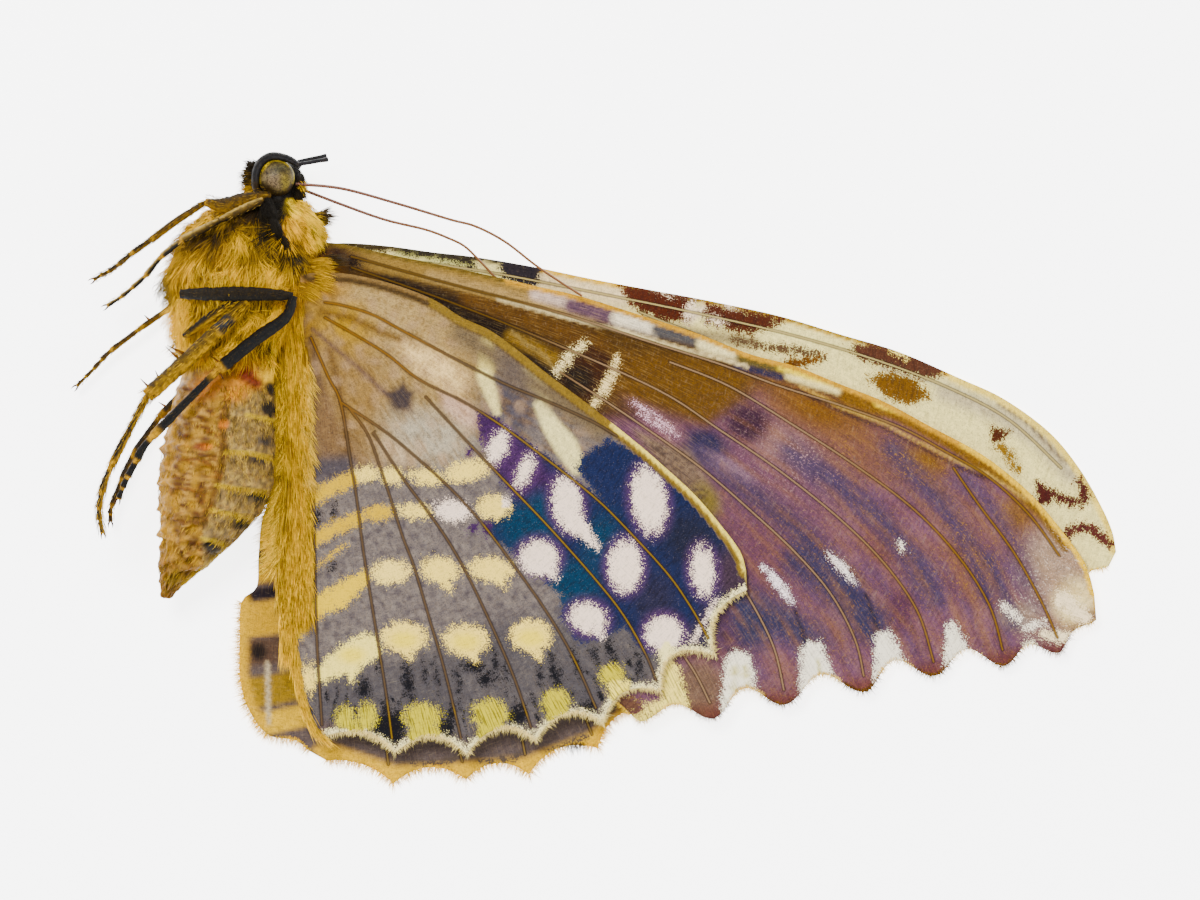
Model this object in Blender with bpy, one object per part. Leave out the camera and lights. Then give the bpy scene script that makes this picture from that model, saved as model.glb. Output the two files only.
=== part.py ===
"""A white witch moth with its wings closed over its back, lying on its right side.

The head points along +Y, the back and the wings along +X, and the left side of the animal faces up.
"""

import math
import random

import bmesh
import bpy
from mathutils import Matrix, Vector
from mathutils.geometry import delaunay_2d_cdt

# One step of the plan grid on which every pair (x, y) below is drawn: x runs to the right, y down.
GRID = 0.000145
PLAN_CENTRE = (600.0, 470.0)

# Gaps and thicknesses, in metres.
GAP = 0.0003
WING_THICKNESS = 0.0005
VEIN_HEIGHT = 0.00025
VEIN_HALF_WIDTH = 0.00045

# The level of the body's middle plane, and of the four wings at their roots and far from them.
BODY_LEVEL = 0.0085
LEVELS = {
    "wing_hind_left": (0.0140, 0.00355),
    "wing_fore_left": (0.0118, 0.00245),
    "wing_fore_right": (0.0048, 0.00135),
    "wing_hind_right": (0.0030, 0.00025),
}
WING_CENTRE = (310.0, 280.0)
LEVEL_REACH = 0.025
LEVEL_CUT = 0.05
PLEAT_HEIGHT = 0.0006
PLEATS_PER_TURN = 17.0
PLEAT_FULL_AT = 0.060
TIP_DROP = 0.0011
TIP_DROP_FROM = 760.0
TIP_DROP_TO = 1010.0

SEED = 5

COLLECTION = "white_witch_moth"

HIND_COSTA = [
    (312, 274), (344, 274), (388, 283), (432, 299), (461, 317), (491, 331), (520, 352), (549, 375),
    (593, 408), (637, 443), (667, 469), (696, 496), (720, 524), (740, 551), (746, 570),
]
HIND_TEETH = [
    (747, 590), (716, 657), (661, 692), (603, 724), (536, 741), (467, 754.5), (395, 753), (322, 737),
]
HIND_SCALLOPS = [17, 25, 18, 19, 19, 17, 12]
HIND_INNER = [
    (304, 706), (294, 655), (286, 612), (290, 575), (290, 545), (289, 489), (287, 418), (288, 360),
    (290, 330), (292, 306), (298, 276),
]
HIND_VEINS = [
    [
        (326, 303), (344, 306), (373, 315), (403, 331), (461, 362),
        (505, 384), (549, 402), (593, 422), (617, 436),
    ],
    [
        (326, 318), (359, 337), (388, 355), (420, 380), (464, 402), (505, 428), (549, 461), (593, 496),
        (623, 525), (667, 573), (692, 609), (708, 638),
    ],
    [(426, 397), (464, 438), (505, 481), (549, 527), (596, 580), (624, 616), (646, 655), (656, 680)],
    [
        (312, 338), (329, 377), (341, 402), (350, 455), (357, 499),
        (364, 554), (378, 642), (386, 693), (392, 738),
    ],
    [
        (351, 410), (368, 434), (379, 463), (391, 499), (403, 537),
        (414, 566), (429, 617), (444, 668), (461, 738),
    ],
    [(374, 433), (403, 478), (426, 509), (447, 539), (467, 574), (490, 622), (513, 675), (531, 727)],
    [(386, 432), (423, 463), (453, 491), (482, 523), (513, 564), (546, 611), (572, 655), (596, 708)],
]

FORE_COSTA = [
    (322, 243), (345, 245), (400, 257), (464, 270), (535, 286),
    (579, 296), (637, 314), (696, 333), (750, 354),
    (795, 366), (840, 384), (885, 402), (930, 426), (975, 450), (1005, 471), (1035, 498), (1065, 534),
    (1086, 564), (1095, 594),
]
FORE_LOBES = [
    (1097, 620), (1060, 653), (1005, 666), (935, 676), (865, 692),
    (785, 705), (713, 719), (640, 722), (585, 690),
]
FORE_NOTCHES = [7, 15, 22, 24, 24, 24, 16, 6]
FORE_INNER = [(510, 590), (440, 470), (380, 360), (335, 296), (308, 276), (306, 262)]
FORE_VEINS = [
    [
        (352, 257), (450, 284), (560, 313), (650, 342), (720, 364), (780, 386), (840, 405), (900, 427),
        (945, 451), (990, 478), (1030, 515), (1060, 556),
    ],
    [(954, 468), (978, 503), (1014, 552), (1041, 600), (1058, 638)],
    [(670, 362), (729, 386), (795, 426), (855, 465), (915, 510), (960, 558), (990, 606), (1003, 650)],
    [
        (352, 268), (450, 302), (560, 346), (660, 391), (720, 430), (780, 471), (840, 519), (885, 564),
        (918, 612), (934, 662),
    ],
    [
        (560, 372), (610, 404), (660, 438), (705, 471), (750, 510),
        (795, 552), (831, 594), (855, 639), (864, 676),
    ],
    [(600, 455), (690, 535), (735, 580), (753, 605), (774, 648), (784, 690)],
    [(580, 530), (650, 612), (690, 665), (710, 703)],
]

FAR_FORE_COSTA = [
    (317, 246), (344, 243), (388, 246), (432, 252), (476, 257),
    (535, 267), (593, 279), (652, 290), (711, 301),
    (780, 316), (840, 334), (900, 352), (960, 378), (1005, 399), (1050, 432), (1080, 468), (1101, 504),
    (1113, 531), (1117, 552),
]
FAR_FORE_LOBES = [
    (1110, 566), (1078, 590), (1024, 608), (955, 622), (888, 643),
    (810, 662), (738, 682), (664, 688), (606, 664),
]
FAR_FORE_VEINS = [
    [
        (352, 254), (476, 270), (593, 292), (711, 316), (800, 337),
        (880, 361), (950, 388), (1010, 420), (1062, 468),
    ],
    [(640, 312), (760, 362), (860, 420), (940, 485), (990, 545), (1018, 592)],
    [(440, 290), (560, 334), (680, 396), (790, 474), (870, 552), (935, 640)],
]

FAR_HIND_COSTA = [
    (309, 300), (344, 302), (388, 310), (432, 326), (491, 358), (549, 402), (593, 435), (637, 470),
    (667, 496), (696, 523), (720, 551), (730, 580),
]
FAR_HIND_TEETH = [
    (728, 606), (698, 662), (652, 708), (598, 749), (529, 775), (466, 780), (393, 784), (326, 761),
]
FAR_HIND_SCALLOPS = [12, 14, 14, 14, 14, 14, 8]
FAR_HIND_INNER = [
    (308, 751), (295, 741), (271, 737), (258, 726), (245, 703),
    (239, 676), (239, 639), (241, 602), (256, 587),
    (258, 555), (263, 515), (284, 470), (288, 410), (291, 350), (293, 310), (299, 299),
]
FAR_HIND_VEINS = [
    [(330, 352), (400, 384), (464, 430), (549, 492), (623, 556), (668, 610), (690, 648)],
    [(345, 430), (354, 525), (372, 640), (388, 765)],
    [(372, 450), (400, 540), (432, 650), (462, 762)],
    [(392, 458), (450, 528), (500, 640), (525, 755)],
    [(420, 462), (500, 560), (560, 660), (592, 735)],
]

# How far beyond the skin of the thorax a slot for a wing's root is cut, as a patch in plan.
WING_SLOTS = {
    "wing_hind_left": [(284, 262), (352, 262), (352, 352), (280, 352)],
    "wing_fore_left": [(300, 236), (352, 236), (352, 306), (296, 306)],
    "wing_fore_right": [(300, 232), (352, 232), (352, 306), (296, 306)],
    "wing_hind_right": [(284, 290), (352, 290), (352, 366), (280, 366)],
}

# Cross sections of the body from the head end: y, x at the belly, x at the back, half width below
# and above the middle level, and the middle level, the last three in metres.
THORAX_RINGS = [
    (198, 250, 284, 0.0030, 0.0026, 0.0088),
    (205, 222, 303, 0.0058, 0.0048, 0.0087),
    (218, 200, 317, 0.0076, 0.0062, 0.0086),
    (238, 186, 325, 0.0084, 0.0070, 0.0085),
    (262, 180, 326, 0.0086, 0.0073, 0.0085),
    (290, 177, 320, 0.0086, 0.0073, 0.0085),
    (315, 179, 311, 0.0084, 0.0071, 0.0084),
    (336, 184, 299, 0.0078, 0.0064, 0.0083),
    (350, 194, 284, 0.0062, 0.0050, 0.0082),
    (356, 212, 268, 0.0040, 0.0030, 0.0082),
]
ABDOMEN_RINGS = [
    (349, 222, 268, 0.0030, 0.0030, 0.0082),
    (355, 206, 276, 0.0050, 0.0050, 0.0081),
    (366, 190, 279, 0.0065, 0.0065, 0.0079),
    (388, 178, 277, 0.0073, 0.0072, 0.0076),
    (417, 171, 276, 0.0076, 0.0075, 0.0074),
    (453, 163, 275, 0.0074, 0.0073, 0.0073),
    (487, 159, 273, 0.0069, 0.0067, 0.0068),
    (513, 162, 260, 0.0061, 0.0060, 0.0064),
    (541, 162, 233, 0.0049, 0.0048, 0.0060),
    (566, 160, 205, 0.0036, 0.0035, 0.0057),
    (583, 161, 184, 0.0023, 0.0023, 0.0055),
    (594, 163, 171, 0.0009, 0.0009, 0.0054),
]
# The rows at which one ring of the abdomen ends and the next, a little narrower, begins.
ABDOMEN_SEAMS = [388, 417, 453, 487, 513, 541, 566]
SEAM_STEP = 0.00035
HEAD_RINGS = [
    (156, 264, 284, 0.0014, 0.0014, 0.0088),
    (160, 256, 292, 0.0027, 0.0027, 0.0088),
    (168, 250, 299, 0.0036, 0.0036, 0.0088),
    (178, 248, 302, 0.0040, 0.0040, 0.0088),
    (188, 251, 300, 0.0037, 0.0037, 0.0088),
    (197, 259, 292, 0.0028, 0.0028, 0.0088),
    (204, 267, 283, 0.0014, 0.0014, 0.0088),
]
BODY_SIDES = 16
HEAD_SIDES = 14

EYE_RADIUS = 0.00275
EYE_PLACE = (277.7, 179.0)
EYE_OFFSET = 0.0027
EYE_FLATNESS = 0.8

PALP_PATH = [
    (256, 194), (253.5, 184), (254, 172), (259, 160), (271, 153.5), (285, 156), (295, 161), (300, 165),
]
PALP_ROD = {"left": [(303, 166), (316, 163.5), (329, 161)], "right": [(301, 161.5), (314, 159), (326, 156)]}
PALP_THICKNESS = 0.0010
PALP_ROD_THICKNESS = 0.0005
PALP_OFFSET = 0.0033

# Feelers: plan points, each with its height.
ANTENNAE = {
    "left": [
        (296, 185, 0.0108), (306, 186.5, 0.0110), (345, 190, 0.0112),
        (400, 205, 0.0106), (450, 220, 0.0094),
        (476, 227, 0.0088), (505, 242, 0.0080), (535, 265, 0.0072), (560, 283, 0.0068), (582, 296, 0.0064),
    ],
    "right": [
        (296, 189, 0.0072), (307, 191.5, 0.0072), (345, 206, 0.0072),
        (385, 220, 0.0070), (426, 230, 0.0066),
        (450, 239, 0.0060), (464, 246, 0.0056), (476, 257, 0.0050), (492, 274, 0.0043), (508, 292, 0.0038),
    ],
}
ANTENNA_THICKNESS = 0.0005

# Fur of the thorax: rows of locks over a core, each lying down the body and lifting to its tip.
COAT_ROWS = [212, 230, 248, 266, 284, 302, 320, 337]
COAT_ANGLES = (-12.0, 205.0)
COAT_SPACING = 25.0
COAT_LENGTH = 0.0052
COAT_WIDTH = 0.0030
COAT_DEPTH = 0.0010
COAT_LIFT = 0.0011
COAT_SINK = 0.0006
# The wings stand where the back is from this row down, so no lock grows there.
WINGS_FROM_ROW = 236
WINGS_BELOW_ANGLE = 40.0

# Collar locks behind the head: root row, root angle, and plan shift and rise from root to tip.
COLLAR_LOCKS = [
    (206, 20, 13, -6, 0.0004), (208, 48, 16, 4, 0.0012), (211, 5, 16, 2, 0.0002), (214, 30, 20, 12, 0.0008),
    (217, -15, 16, 12, 0.0), (219, 58, 18, 22, 0.0012),
    (222, 12, 17, 20, 0.0004), (228, 38, 14, 26, 0.0008),
    (215, -40, 14, 16, 0.0),
]
COLLAR_WIDTH = 0.0026

# Tufts of the head, as the collar's, before the face and behind the crown.
HEAD_LOCKS = [
    (171, 158, -11, -8, 0.0003), (176, 176, -13, -6, 0.0),
    (182, 196, -13, -2, -0.0002), (187, 166, -12, 3, 0.0002),
    (192, 186, -11, 7, 0.0), (169, 200, -11, -9, -0.0003), (176, 8, 9, 4, 0.0002), (183, -10, 9, 8, 0.0),
    (189, 14, 10, 11, 0.0002), (195, -6, 9, 13, 0.0), (169, 20, 8, -4, 0.0003), (169, -16, 8, -3, -0.0002),
]
HEAD_LOCK_WIDTH = 0.0017

# Fur along the inner margin of the upper hindwing: where its locks grow and how they lie.
BAND_FROM, BAND_TO, BAND_STEP = 345, 600, 17
BAND_COLUMNS = (296, 306)
# Sideways lean of a lock: close to the wing, and of the loose ones past the widest abdomen.
BAND_LEANS = ((-0.14, 0.10), (-0.45, -0.10))
BAND_LOOSE_FROM = 425
BAND_LENGTH = 0.0078
BAND_WIDTH = 0.0024
BAND_DEPTH = 0.0009
BAND_LIFT = 0.0009

# Spurs and claws of the legs: which limb carries each, its base and its tip.
SPURS = {
    "leg_hind_left_shin": [((158, 389), (143, 379)), ((163, 385), (165, 370)), ((184, 365), (168, 347))],
    "leg_mid_left_shin": [((226, 366), (212, 356)), ((229, 362), (232, 378))],
    "leg_hind_right_shin": [((168, 408), (156, 402))],
    "leg_mid_right_shin": [((150, 321), (143, 313))],
}
SPUR_RADIUS = 0.00035
CLAW_LENGTH = 0.0010
CLAW_RADIUS = 0.00028
CLAW_SPREAD = 0.5
CLAW_DROP = 0.00007

# Each leg: the plan points and heights of its root, knee, ankle and the joints of its foot, and
# the thickness of its thigh, shin and foot.
LEGS = {
    "fore_left": {
        "thigh": [(268, 199, 0.0132), (240, 198, 0.0140), (206, 203, 0.0138)],
        "shin": [(206, 203, 0.0138), (180, 221, 0.0128), (154, 240, 0.0116)],
        "foot": [
            (154, 240, 0.0116), (133.5, 254, 0.0106), (120, 265, 0.0098),
            (110, 272, 0.0093), (102, 276, 0.0090),
            (95, 280, 0.0086),
        ],
        "thickness": (0.0017, 0.0011, 0.0008),
    },
    "fore_right": {
        "thigh": [(262, 212, 0.0143), (240, 222, 0.0150), (222, 226, 0.0150)],
        "shin": [(222, 226, 0.0150), (204, 233, 0.0147), (184, 242, 0.0132)],
        "foot": [
            (184, 242, 0.0132), (163, 257, 0.0100), (146.5, 276, 0.0085),
            (133, 288, 0.0075), (122, 297, 0.0068),
            (107.5, 306, 0.0062),
        ],
        "thickness": (0.0009, 0.0008, 0.0009),
    },
    "mid_left": {
        "thigh": [(183, 293, 0.0146), (215, 293, 0.0166), (255, 294, 0.0174), (298, 297, 0.0169)],
        "shin": [(298, 297, 0.0169), (262, 331, 0.0172), (218, 373, 0.0168)],
        "foot": [
            (218, 373, 0.0168), (154, 438, 0.0156), (139, 461, 0.0148),
            (130, 477, 0.0142), (125, 488, 0.0138),
            (121, 499, 0.0134),
        ],
        "thickness": (0.0015, 0.0017, 0.0012),
    },
    "mid_right": {
        "thigh": [(196, 297, 0.0040), (214, 282, 0.0024), (228, 268, 0.0012)],
        "shin": [(228, 268, 0.0012), (184, 298, 0.0018), (139, 329, 0.0024)],
        "foot": [
            (139, 329, 0.0024), (110, 351, 0.0022), (101, 360, 0.0020),
            (93, 369, 0.0019), (85, 377, 0.0018),
            (76, 386, 0.0018),
        ],
        "thickness": (0.0011, 0.0009, 0.0008),
    },
    "hind_left": {
        "thigh": [(186, 337, 0.0142), (218, 320, 0.0163), (252, 305, 0.0168)],
        "shin": [(252, 305, 0.0168), (200, 351, 0.0164), (150, 396, 0.0150)],
        "foot": [
            (150, 396, 0.0150), (113, 467, 0.0128), (104, 493, 0.0120),
            (101, 508, 0.0116), (102, 520, 0.0113),
            (104.5, 533, 0.0110),
        ],
        "thickness": (0.0015, 0.0019, 0.0011),
    },
    "hind_right": {
        "thigh": [(196, 341, 0.0042), (222, 334, 0.0024), (248, 326, 0.0012)],
        "shin": [(248, 326, 0.0012), (204, 371, 0.0014), (159, 417, 0.0022)],
        "foot": [
            (159, 417, 0.0022), (133, 455, 0.0026), (121, 481, 0.0026),
            (111, 507, 0.0024), (110, 514, 0.0023),
            (110, 522, 0.0022),
        ],
        "thickness": (0.0011, 0.0012, 0.0010),
    },
}


def plan(x, y):
    """Metres across the floor of a point of the plan grid."""
    return (x - PLAN_CENTRE[0]) * GRID, (PLAN_CENTRE[1] - y) * GRID


def place(point):
    """A point given as plan x, plan y and height."""
    return Vector((*plan(point[0], point[1]), point[2]))


def smooth(value, low, high):
    """0 below low, 1 above high, and an even curve between."""
    share = min(1.0, max(0.0, (value - low) / (high - low)))
    return share * share * (3 - 2 * share)


def wing_level(name, x, y):
    """The height of a wing's middle surface over a plan point."""
    across, down = x - WING_CENTRE[0], y - WING_CENTRE[1]
    distance = math.hypot(across, down) * GRID
    fall = max(0.0, math.exp(-distance / LEVEL_REACH) - LEVEL_CUT) / (1 - LEVEL_CUT)
    wave = max(0.0, math.sin(PLEATS_PER_TURN * math.atan2(down, across)) - 0.25)
    pleat = PLEAT_HEIGHT * wave * smooth(distance, 0.0, PLEAT_FULL_AT)
    at_root, far_out = LEVELS[name]
    level = far_out + (at_root - far_out) * fall + pleat
    if "fore" in name:
        level -= TIP_DROP * smooth(x, TIP_DROP_FROM, TIP_DROP_TO)
    return level


def collection(name, hidden=False):
    """A new collection in the scene."""
    made = bpy.data.collections.new(name)
    bpy.context.scene.collection.children.link(made)
    made.hide_render = hidden
    return made


def object_from(name, shape, home):
    """An object made from a bmesh, which it frees."""
    mesh = bpy.data.meshes.new(name)
    bmesh.ops.triangulate(shape, faces=shape.faces[:])
    bmesh.ops.recalc_face_normals(shape, faces=shape.faces[:])
    shape.to_mesh(mesh)
    shape.free()
    made = bpy.data.objects.new(name, mesh)
    home.objects.link(made)
    return made


def between(line, count):
    """The points of a line and count more, evenly spaced, in each of its stretches."""
    full = []
    for start, end in zip(line, line[1:]):
        for step in range(count + 1):
            share = step / (count + 1)
            full.append(tuple(a + (b - a) * share for a, b in zip(start, end)))
    full.append(tuple(line[-1]))
    return full


def curved(line, count):
    """The same along a smooth curve through the line's points."""
    points = [Vector(point) for point in line]
    full = []
    for number in range(len(points) - 1):
        before, start = points[max(0, number - 1)], points[number]
        end, after = points[number + 1], points[min(len(points) - 1, number + 2)]
        for step in range(count + 1):
            t = step / (count + 1)
            slope = (end - before) * t
            bend = (2 * before - 5 * start + 4 * end - after) * t ** 2
            twist = (3 * start - before - 3 * end + after) * t ** 3
            full.append(tuple(start + (slope + bend + twist) / 2))
    full.append(tuple(points[-1]))
    return full


def margin(ends, depths, pointed):
    """A wing's outer margin: from vein end to vein end, in by each depth between them."""
    steps = (0.12, 0.3, 0.5, 0.7, 0.88)
    line = []
    for start, end, depth in zip(ends, ends[1:], depths):
        line.append(start)
        along = Vector(end) - Vector(start)
        inward = Vector((-along.y, along.x)).normalized()
        for t in steps:
            share = 1 - (2 * t - 1) ** 2 if pointed else math.sin(math.pi * t) ** 2
            line.append(tuple(Vector(start) + along * t + inward * depth * share))
    line.append(ends[-1])
    return line


def inside(point, outline):
    """Whether a plan point lies inside a closed outline."""
    x, y = point
    within = False
    for (xa, ya), (xb, yb) in zip(outline, outline[1:] + outline[:1]):
        if (ya > y) != (yb > y) and x < xa + (y - ya) / (yb - ya) * (xb - xa):
            within = not within
    return within


def distance_to(point, line):
    """How far a plan point is from a line, in grid steps."""
    least = math.inf
    spot = Vector(point)
    for start, end in zip(line, line[1:]):
        a, b = Vector(start), Vector(end)
        along = b - a
        share = min(1.0, max(0.0, (spot - a).dot(along) / max(along.length_squared, 1e-9)))
        least = min(least, (a + along * share - spot).length)
    return least


def beside(line, offset):
    """A line's inner points moved sideways, between its own two ends."""
    moved = [line[0]]
    for before, here, after in zip(line, line[1:], line[2:]):
        along = (Vector(after) - Vector(before)).normalized()
        moved.append(tuple(Vector(here) + Vector((along.y, -along.x)) * offset))
    moved.append(line[-1])
    return moved


def wing_mesh(outline, veins, spacing):
    """A wing cut into triangles in plan: its points, whether each is on a vein's crest, and faces."""
    points = [Vector(point) for point in outline]
    edges = []
    crests = set()
    foot = VEIN_HALF_WIDTH / GRID

    def add(line, joined, crest=False):
        before = joined[0]
        for point in line[1:-1]:
            points.append(Vector(point))
            if crest:
                crests.add(len(points) - 1)
            edges.append((before, len(points) - 1))
            before = len(points) - 1
        edges.append((before, joined[1]))

    for vein in veins:
        points.extend((Vector(vein[0]), Vector(vein[-1])))
        ends = (len(points) - 2, len(points) - 1)
        add(vein, ends, crest=True)
        add(beside(vein, foot), ends)
        add(beside(vein, -foot), ends)
    xs = [point[0] for point in outline]
    ys = [point[1] for point in outline]
    row = 0
    y = min(ys) + spacing / 2
    closed = outline + outline[:1]
    while y < max(ys):
        x = min(xs) + spacing * (0.5 if row % 2 else 1.0)
        while x < max(xs):
            spot = (x, y)
            clear = inside(spot, outline) and distance_to(spot, closed) > spacing * 0.4
            if clear and all(distance_to(spot, vein) > spacing * 0.45 for vein in veins):
                points.append(Vector(spot))
            x += spacing
        row += 1
        y += spacing * 0.87
    found, _, faces, origins, _, _ = delaunay_2d_cdt(
        points, edges, [list(range(len(outline)))], 1, 1e-4
    )
    raised = [bool(crests.intersection(origin)) for origin in origins]
    return [tuple(point) for point in found], raised, [tuple(face) for face in faces]


def sheet(name, points, raised, faces, level, thickness, home):
    """A closed sheet over a plan mesh, its veins raised on the face that looks up."""
    shape = bmesh.new()
    upper, lower = [], []
    for (x, y), crest in zip(points, raised):
        across, up = plan(x, y)
        middle = level(x, y)
        top = middle + thickness / 2 + (VEIN_HEIGHT if crest else 0.0)
        upper.append(shape.verts.new((across, up, top)))
        lower.append(shape.verts.new((across, up, middle - thickness / 2)))
    rim = {}
    for face in faces:
        shape.faces.new([upper[i] for i in face])
        shape.faces.new([lower[i] for i in reversed(face)])
        for start, end in zip(face, face[1:] + face[:1]):
            if (end, start) in rim:
                del rim[(end, start)]
            else:
                rim[(start, end)] = True
    for start, end in rim:
        shape.faces.new((upper[end], upper[start], lower[start]))
        shape.faces.new((upper[end], lower[start], lower[end]))
    used = [vert for vert in shape.verts if not vert.link_faces]
    bmesh.ops.delete(shape, geom=used, context="VERTS")
    return object_from(name, shape, home)


def wing(name, outline, veins, spacing, home):
    """One wing, with its veins."""
    points, raised, faces = wing_mesh(outline, veins, spacing)
    return sheet(name, points, raised, faces, lambda x, y: wing_level(name, x, y), WING_THICKNESS, home)


def wing_slot(name, home):
    """The room for a wing's root in the thorax."""
    outline = between(WING_SLOTS[name] + WING_SLOTS[name][:1], 4)[:-1]
    points, raised, faces = wing_mesh(outline, [], 14.0)
    depth = WING_THICKNESS + VEIN_HEIGHT + 2 * GAP

    def level(x, y):
        return wing_level(name, x, y) + VEIN_HEIGHT / 2

    return sheet(name + "_slot", points, raised, faces, level, depth, home)


def loft(name, rings, sides, grow, home):
    """A closed body through the rings of a table, grown outwards by a set amount."""
    shape = bmesh.new()
    loops = []
    for place_in_list, (y, belly, back, below, above, level) in enumerate(rings):
        beyond = {0: -grow, len(rings) - 1: grow}.get(place_in_list, 0.0) / GRID
        middle = (belly + back) / 2
        reach = (back - belly) / 2 * GRID + grow
        loop = []
        for side in range(sides):
            angle = 2 * math.pi * (side + 0.5) / sides
            depth = (above if math.sin(angle) > 0 else below) + grow
            across, up = plan(middle, y + beyond)
            loop.append(
                shape.verts.new((across + reach * math.cos(angle), up, level + depth * math.sin(angle)))
            )
        loops.append(loop)
    for near, far in zip(loops, loops[1:]):
        for side in range(sides):
            other = (side + 1) % sides
            shape.faces.new((near[side], near[other], far[other], far[side]))
    for loop in (loops[0], loops[-1]):
        middle = sum((vert.co for vert in loop), Vector()) / sides
        hub = shape.verts.new(middle)
        for side in range(sides):
            shape.faces.new((loop[side], loop[(side + 1) % sides], hub))
    return object_from(name, shape, home)


def tube(name, points, radii, grow, home, resolution=1):
    """A round limb along points, as a curve made into a closed mesh."""
    curve = bpy.data.curves.new(name, "CURVE")
    curve.dimensions = "3D"
    curve.bevel_depth = 1.0
    curve.bevel_resolution = resolution
    curve.use_fill_caps = True
    spline = curve.splines.new("POLY")
    points = [Vector(point) for point in points]
    if grow:
        first = points[0] - (points[1] - points[0]).normalized() * grow
        last = points[-1] + (points[-1] - points[-2]).normalized() * grow
        points = [first, *points[1:-1], last]
    spline.points.add(len(points) - 1)
    for spot, point, radius in zip(spline.points, points, radii):
        spot.co = (*point, 1.0)
        spot.radius = radius + grow
    guide = bpy.data.objects.new(name + "_guide", curve)
    home.objects.link(guide)
    bpy.context.view_layer.update()
    evaluated = guide.evaluated_get(bpy.context.evaluated_depsgraph_get())
    mesh = bpy.data.meshes.new_from_object(evaluated)
    shape = bmesh.new()
    shape.from_mesh(mesh)
    bmesh.ops.remove_doubles(shape, verts=shape.verts[:], dist=1e-6)
    bpy.data.meshes.remove(mesh)
    bpy.data.objects.remove(guide)
    bpy.data.curves.remove(curve)
    return object_from(name, shape, home)


def ball(name, centre, radius, home):
    """A round eye, a little flattened."""
    shape = bmesh.new()
    bmesh.ops.create_uvsphere(shape, u_segments=14, v_segments=8, radius=radius)
    bmesh.ops.scale(shape, verts=shape.verts[:], vec=(1.0, 1.0, EYE_FLATNESS))
    bmesh.ops.translate(shape, verts=shape.verts[:], vec=centre)
    return object_from(name, shape, home)


def lock(name, spine, width, depth, face, home):
    """A flat tapered lock of fur along a spine, its broad side turned to face."""
    shape = bmesh.new()
    shares = (0.75, 1.0, 0.7)
    loops = []
    for place_in_spine, share in enumerate(shares):
        here = spine[place_in_spine]
        along = (spine[place_in_spine + 1] - spine[max(0, place_in_spine - 1)]).normalized()
        out = (face - along * face.dot(along)).normalized()
        side = along.cross(out)
        loops.append(
            [
                shape.verts.new(here + side * width * share / 2),
                shape.verts.new(here + out * depth * share / 2),
                shape.verts.new(here - side * width * share / 2),
                shape.verts.new(here - out * depth * share / 2),
            ]
        )
    tip = shape.verts.new(spine[-1])
    for near, far in zip(loops, loops[1:]):
        for side in range(4):
            other = (side + 1) % 4
            shape.faces.new((near[side], near[other], far[other], far[side]))
    for side in range(4):
        shape.faces.new((loops[-1][side], loops[-1][(side + 1) % 4], tip))
    shape.faces.new(loops[0])
    return object_from(name, shape, home)


def skin(rings, y, angle):
    """A point on the skin of a loft, at a row and an angle from the back over the upper side."""
    for near, far in zip(rings, rings[1:]):
        if near[0] <= y <= far[0]:
            break
    share = min(1.0, max(0.0, (y - near[0]) / (far[0] - near[0])))
    belly, back, below, above, level = (a + (b - a) * share for a, b in zip(near[1:], far[1:]))
    turn = math.radians(angle)
    depth = above if math.sin(turn) > 0 else below
    across, up = plan((belly + back) / 2, y)
    reach = (back - belly) / 2 * GRID
    spot = Vector((across + reach * math.cos(turn), up, level + depth * math.sin(turn)))
    out = Vector((math.cos(turn) * depth, 0.0, math.sin(turn) * reach)).normalized()
    return spot, out


def coat_lock(number, row, angle, home):
    """One lock of the thorax's fur, which follows the skin down the body and lifts to its tip."""
    length = COAT_LENGTH * random.uniform(0.8, 1.2)
    drift = random.uniform(-9.0, 9.0) + 14.0 * math.sin(math.radians(angle))
    lift = COAT_LIFT * random.uniform(0.7, 1.3)
    last_row = THORAX_RINGS[-1][0]
    spine = []
    for share, rise in ((0.0, -COAT_SINK), (0.3, lift * 0.45), (0.65, lift * 0.8), (1.0, lift)):
        y = row + length / GRID * share
        spot, out = skin(THORAX_RINGS, min(y, last_row - 3), angle + drift * share)
        spot.y -= max(0.0, y - last_row + 3) * GRID
        spine.append(spot + out * rise)
        if not share:
            face = out
    width = COAT_WIDTH * random.uniform(0.8, 1.15)
    return lock(f"coat_{number}", spine, width, COAT_DEPTH, face, home)


def coat(home):
    """All the locks of the thorax's fur."""
    locks = []
    for place_in_list, row in enumerate(COAT_ROWS):
        angle = COAT_ANGLES[0] + COAT_SPACING / 2 * (place_in_list % 2)
        while angle <= COAT_ANGLES[1]:
            if row < WINGS_FROM_ROW or angle > WINGS_BELOW_ANGLE:
                spot_angle = angle + random.uniform(-4.0, 4.0)
                locks.append(coat_lock(len(locks), row + random.uniform(-4.0, 4.0), spot_angle, home))
            angle += COAT_SPACING
    return locks


def tufts(name, rings, table, width, home):
    """Single locks of a table, each from a row and angle of a loft towards its own tip."""
    made = []
    for number, (row, angle, right, down, rise) in enumerate(table):
        root, out = skin(rings, row, angle)
        across = Vector((right * GRID, -down * GRID, rise))
        middle = root + across * 0.45 + out * across.length * 0.18
        spine = [root - out * COAT_SINK - across * 0.1, root + across * 0.12, middle, root + across]
        made.append(lock(f"{name}_{number}", spine, width, width * 0.4, out, home))
    return made


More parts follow.
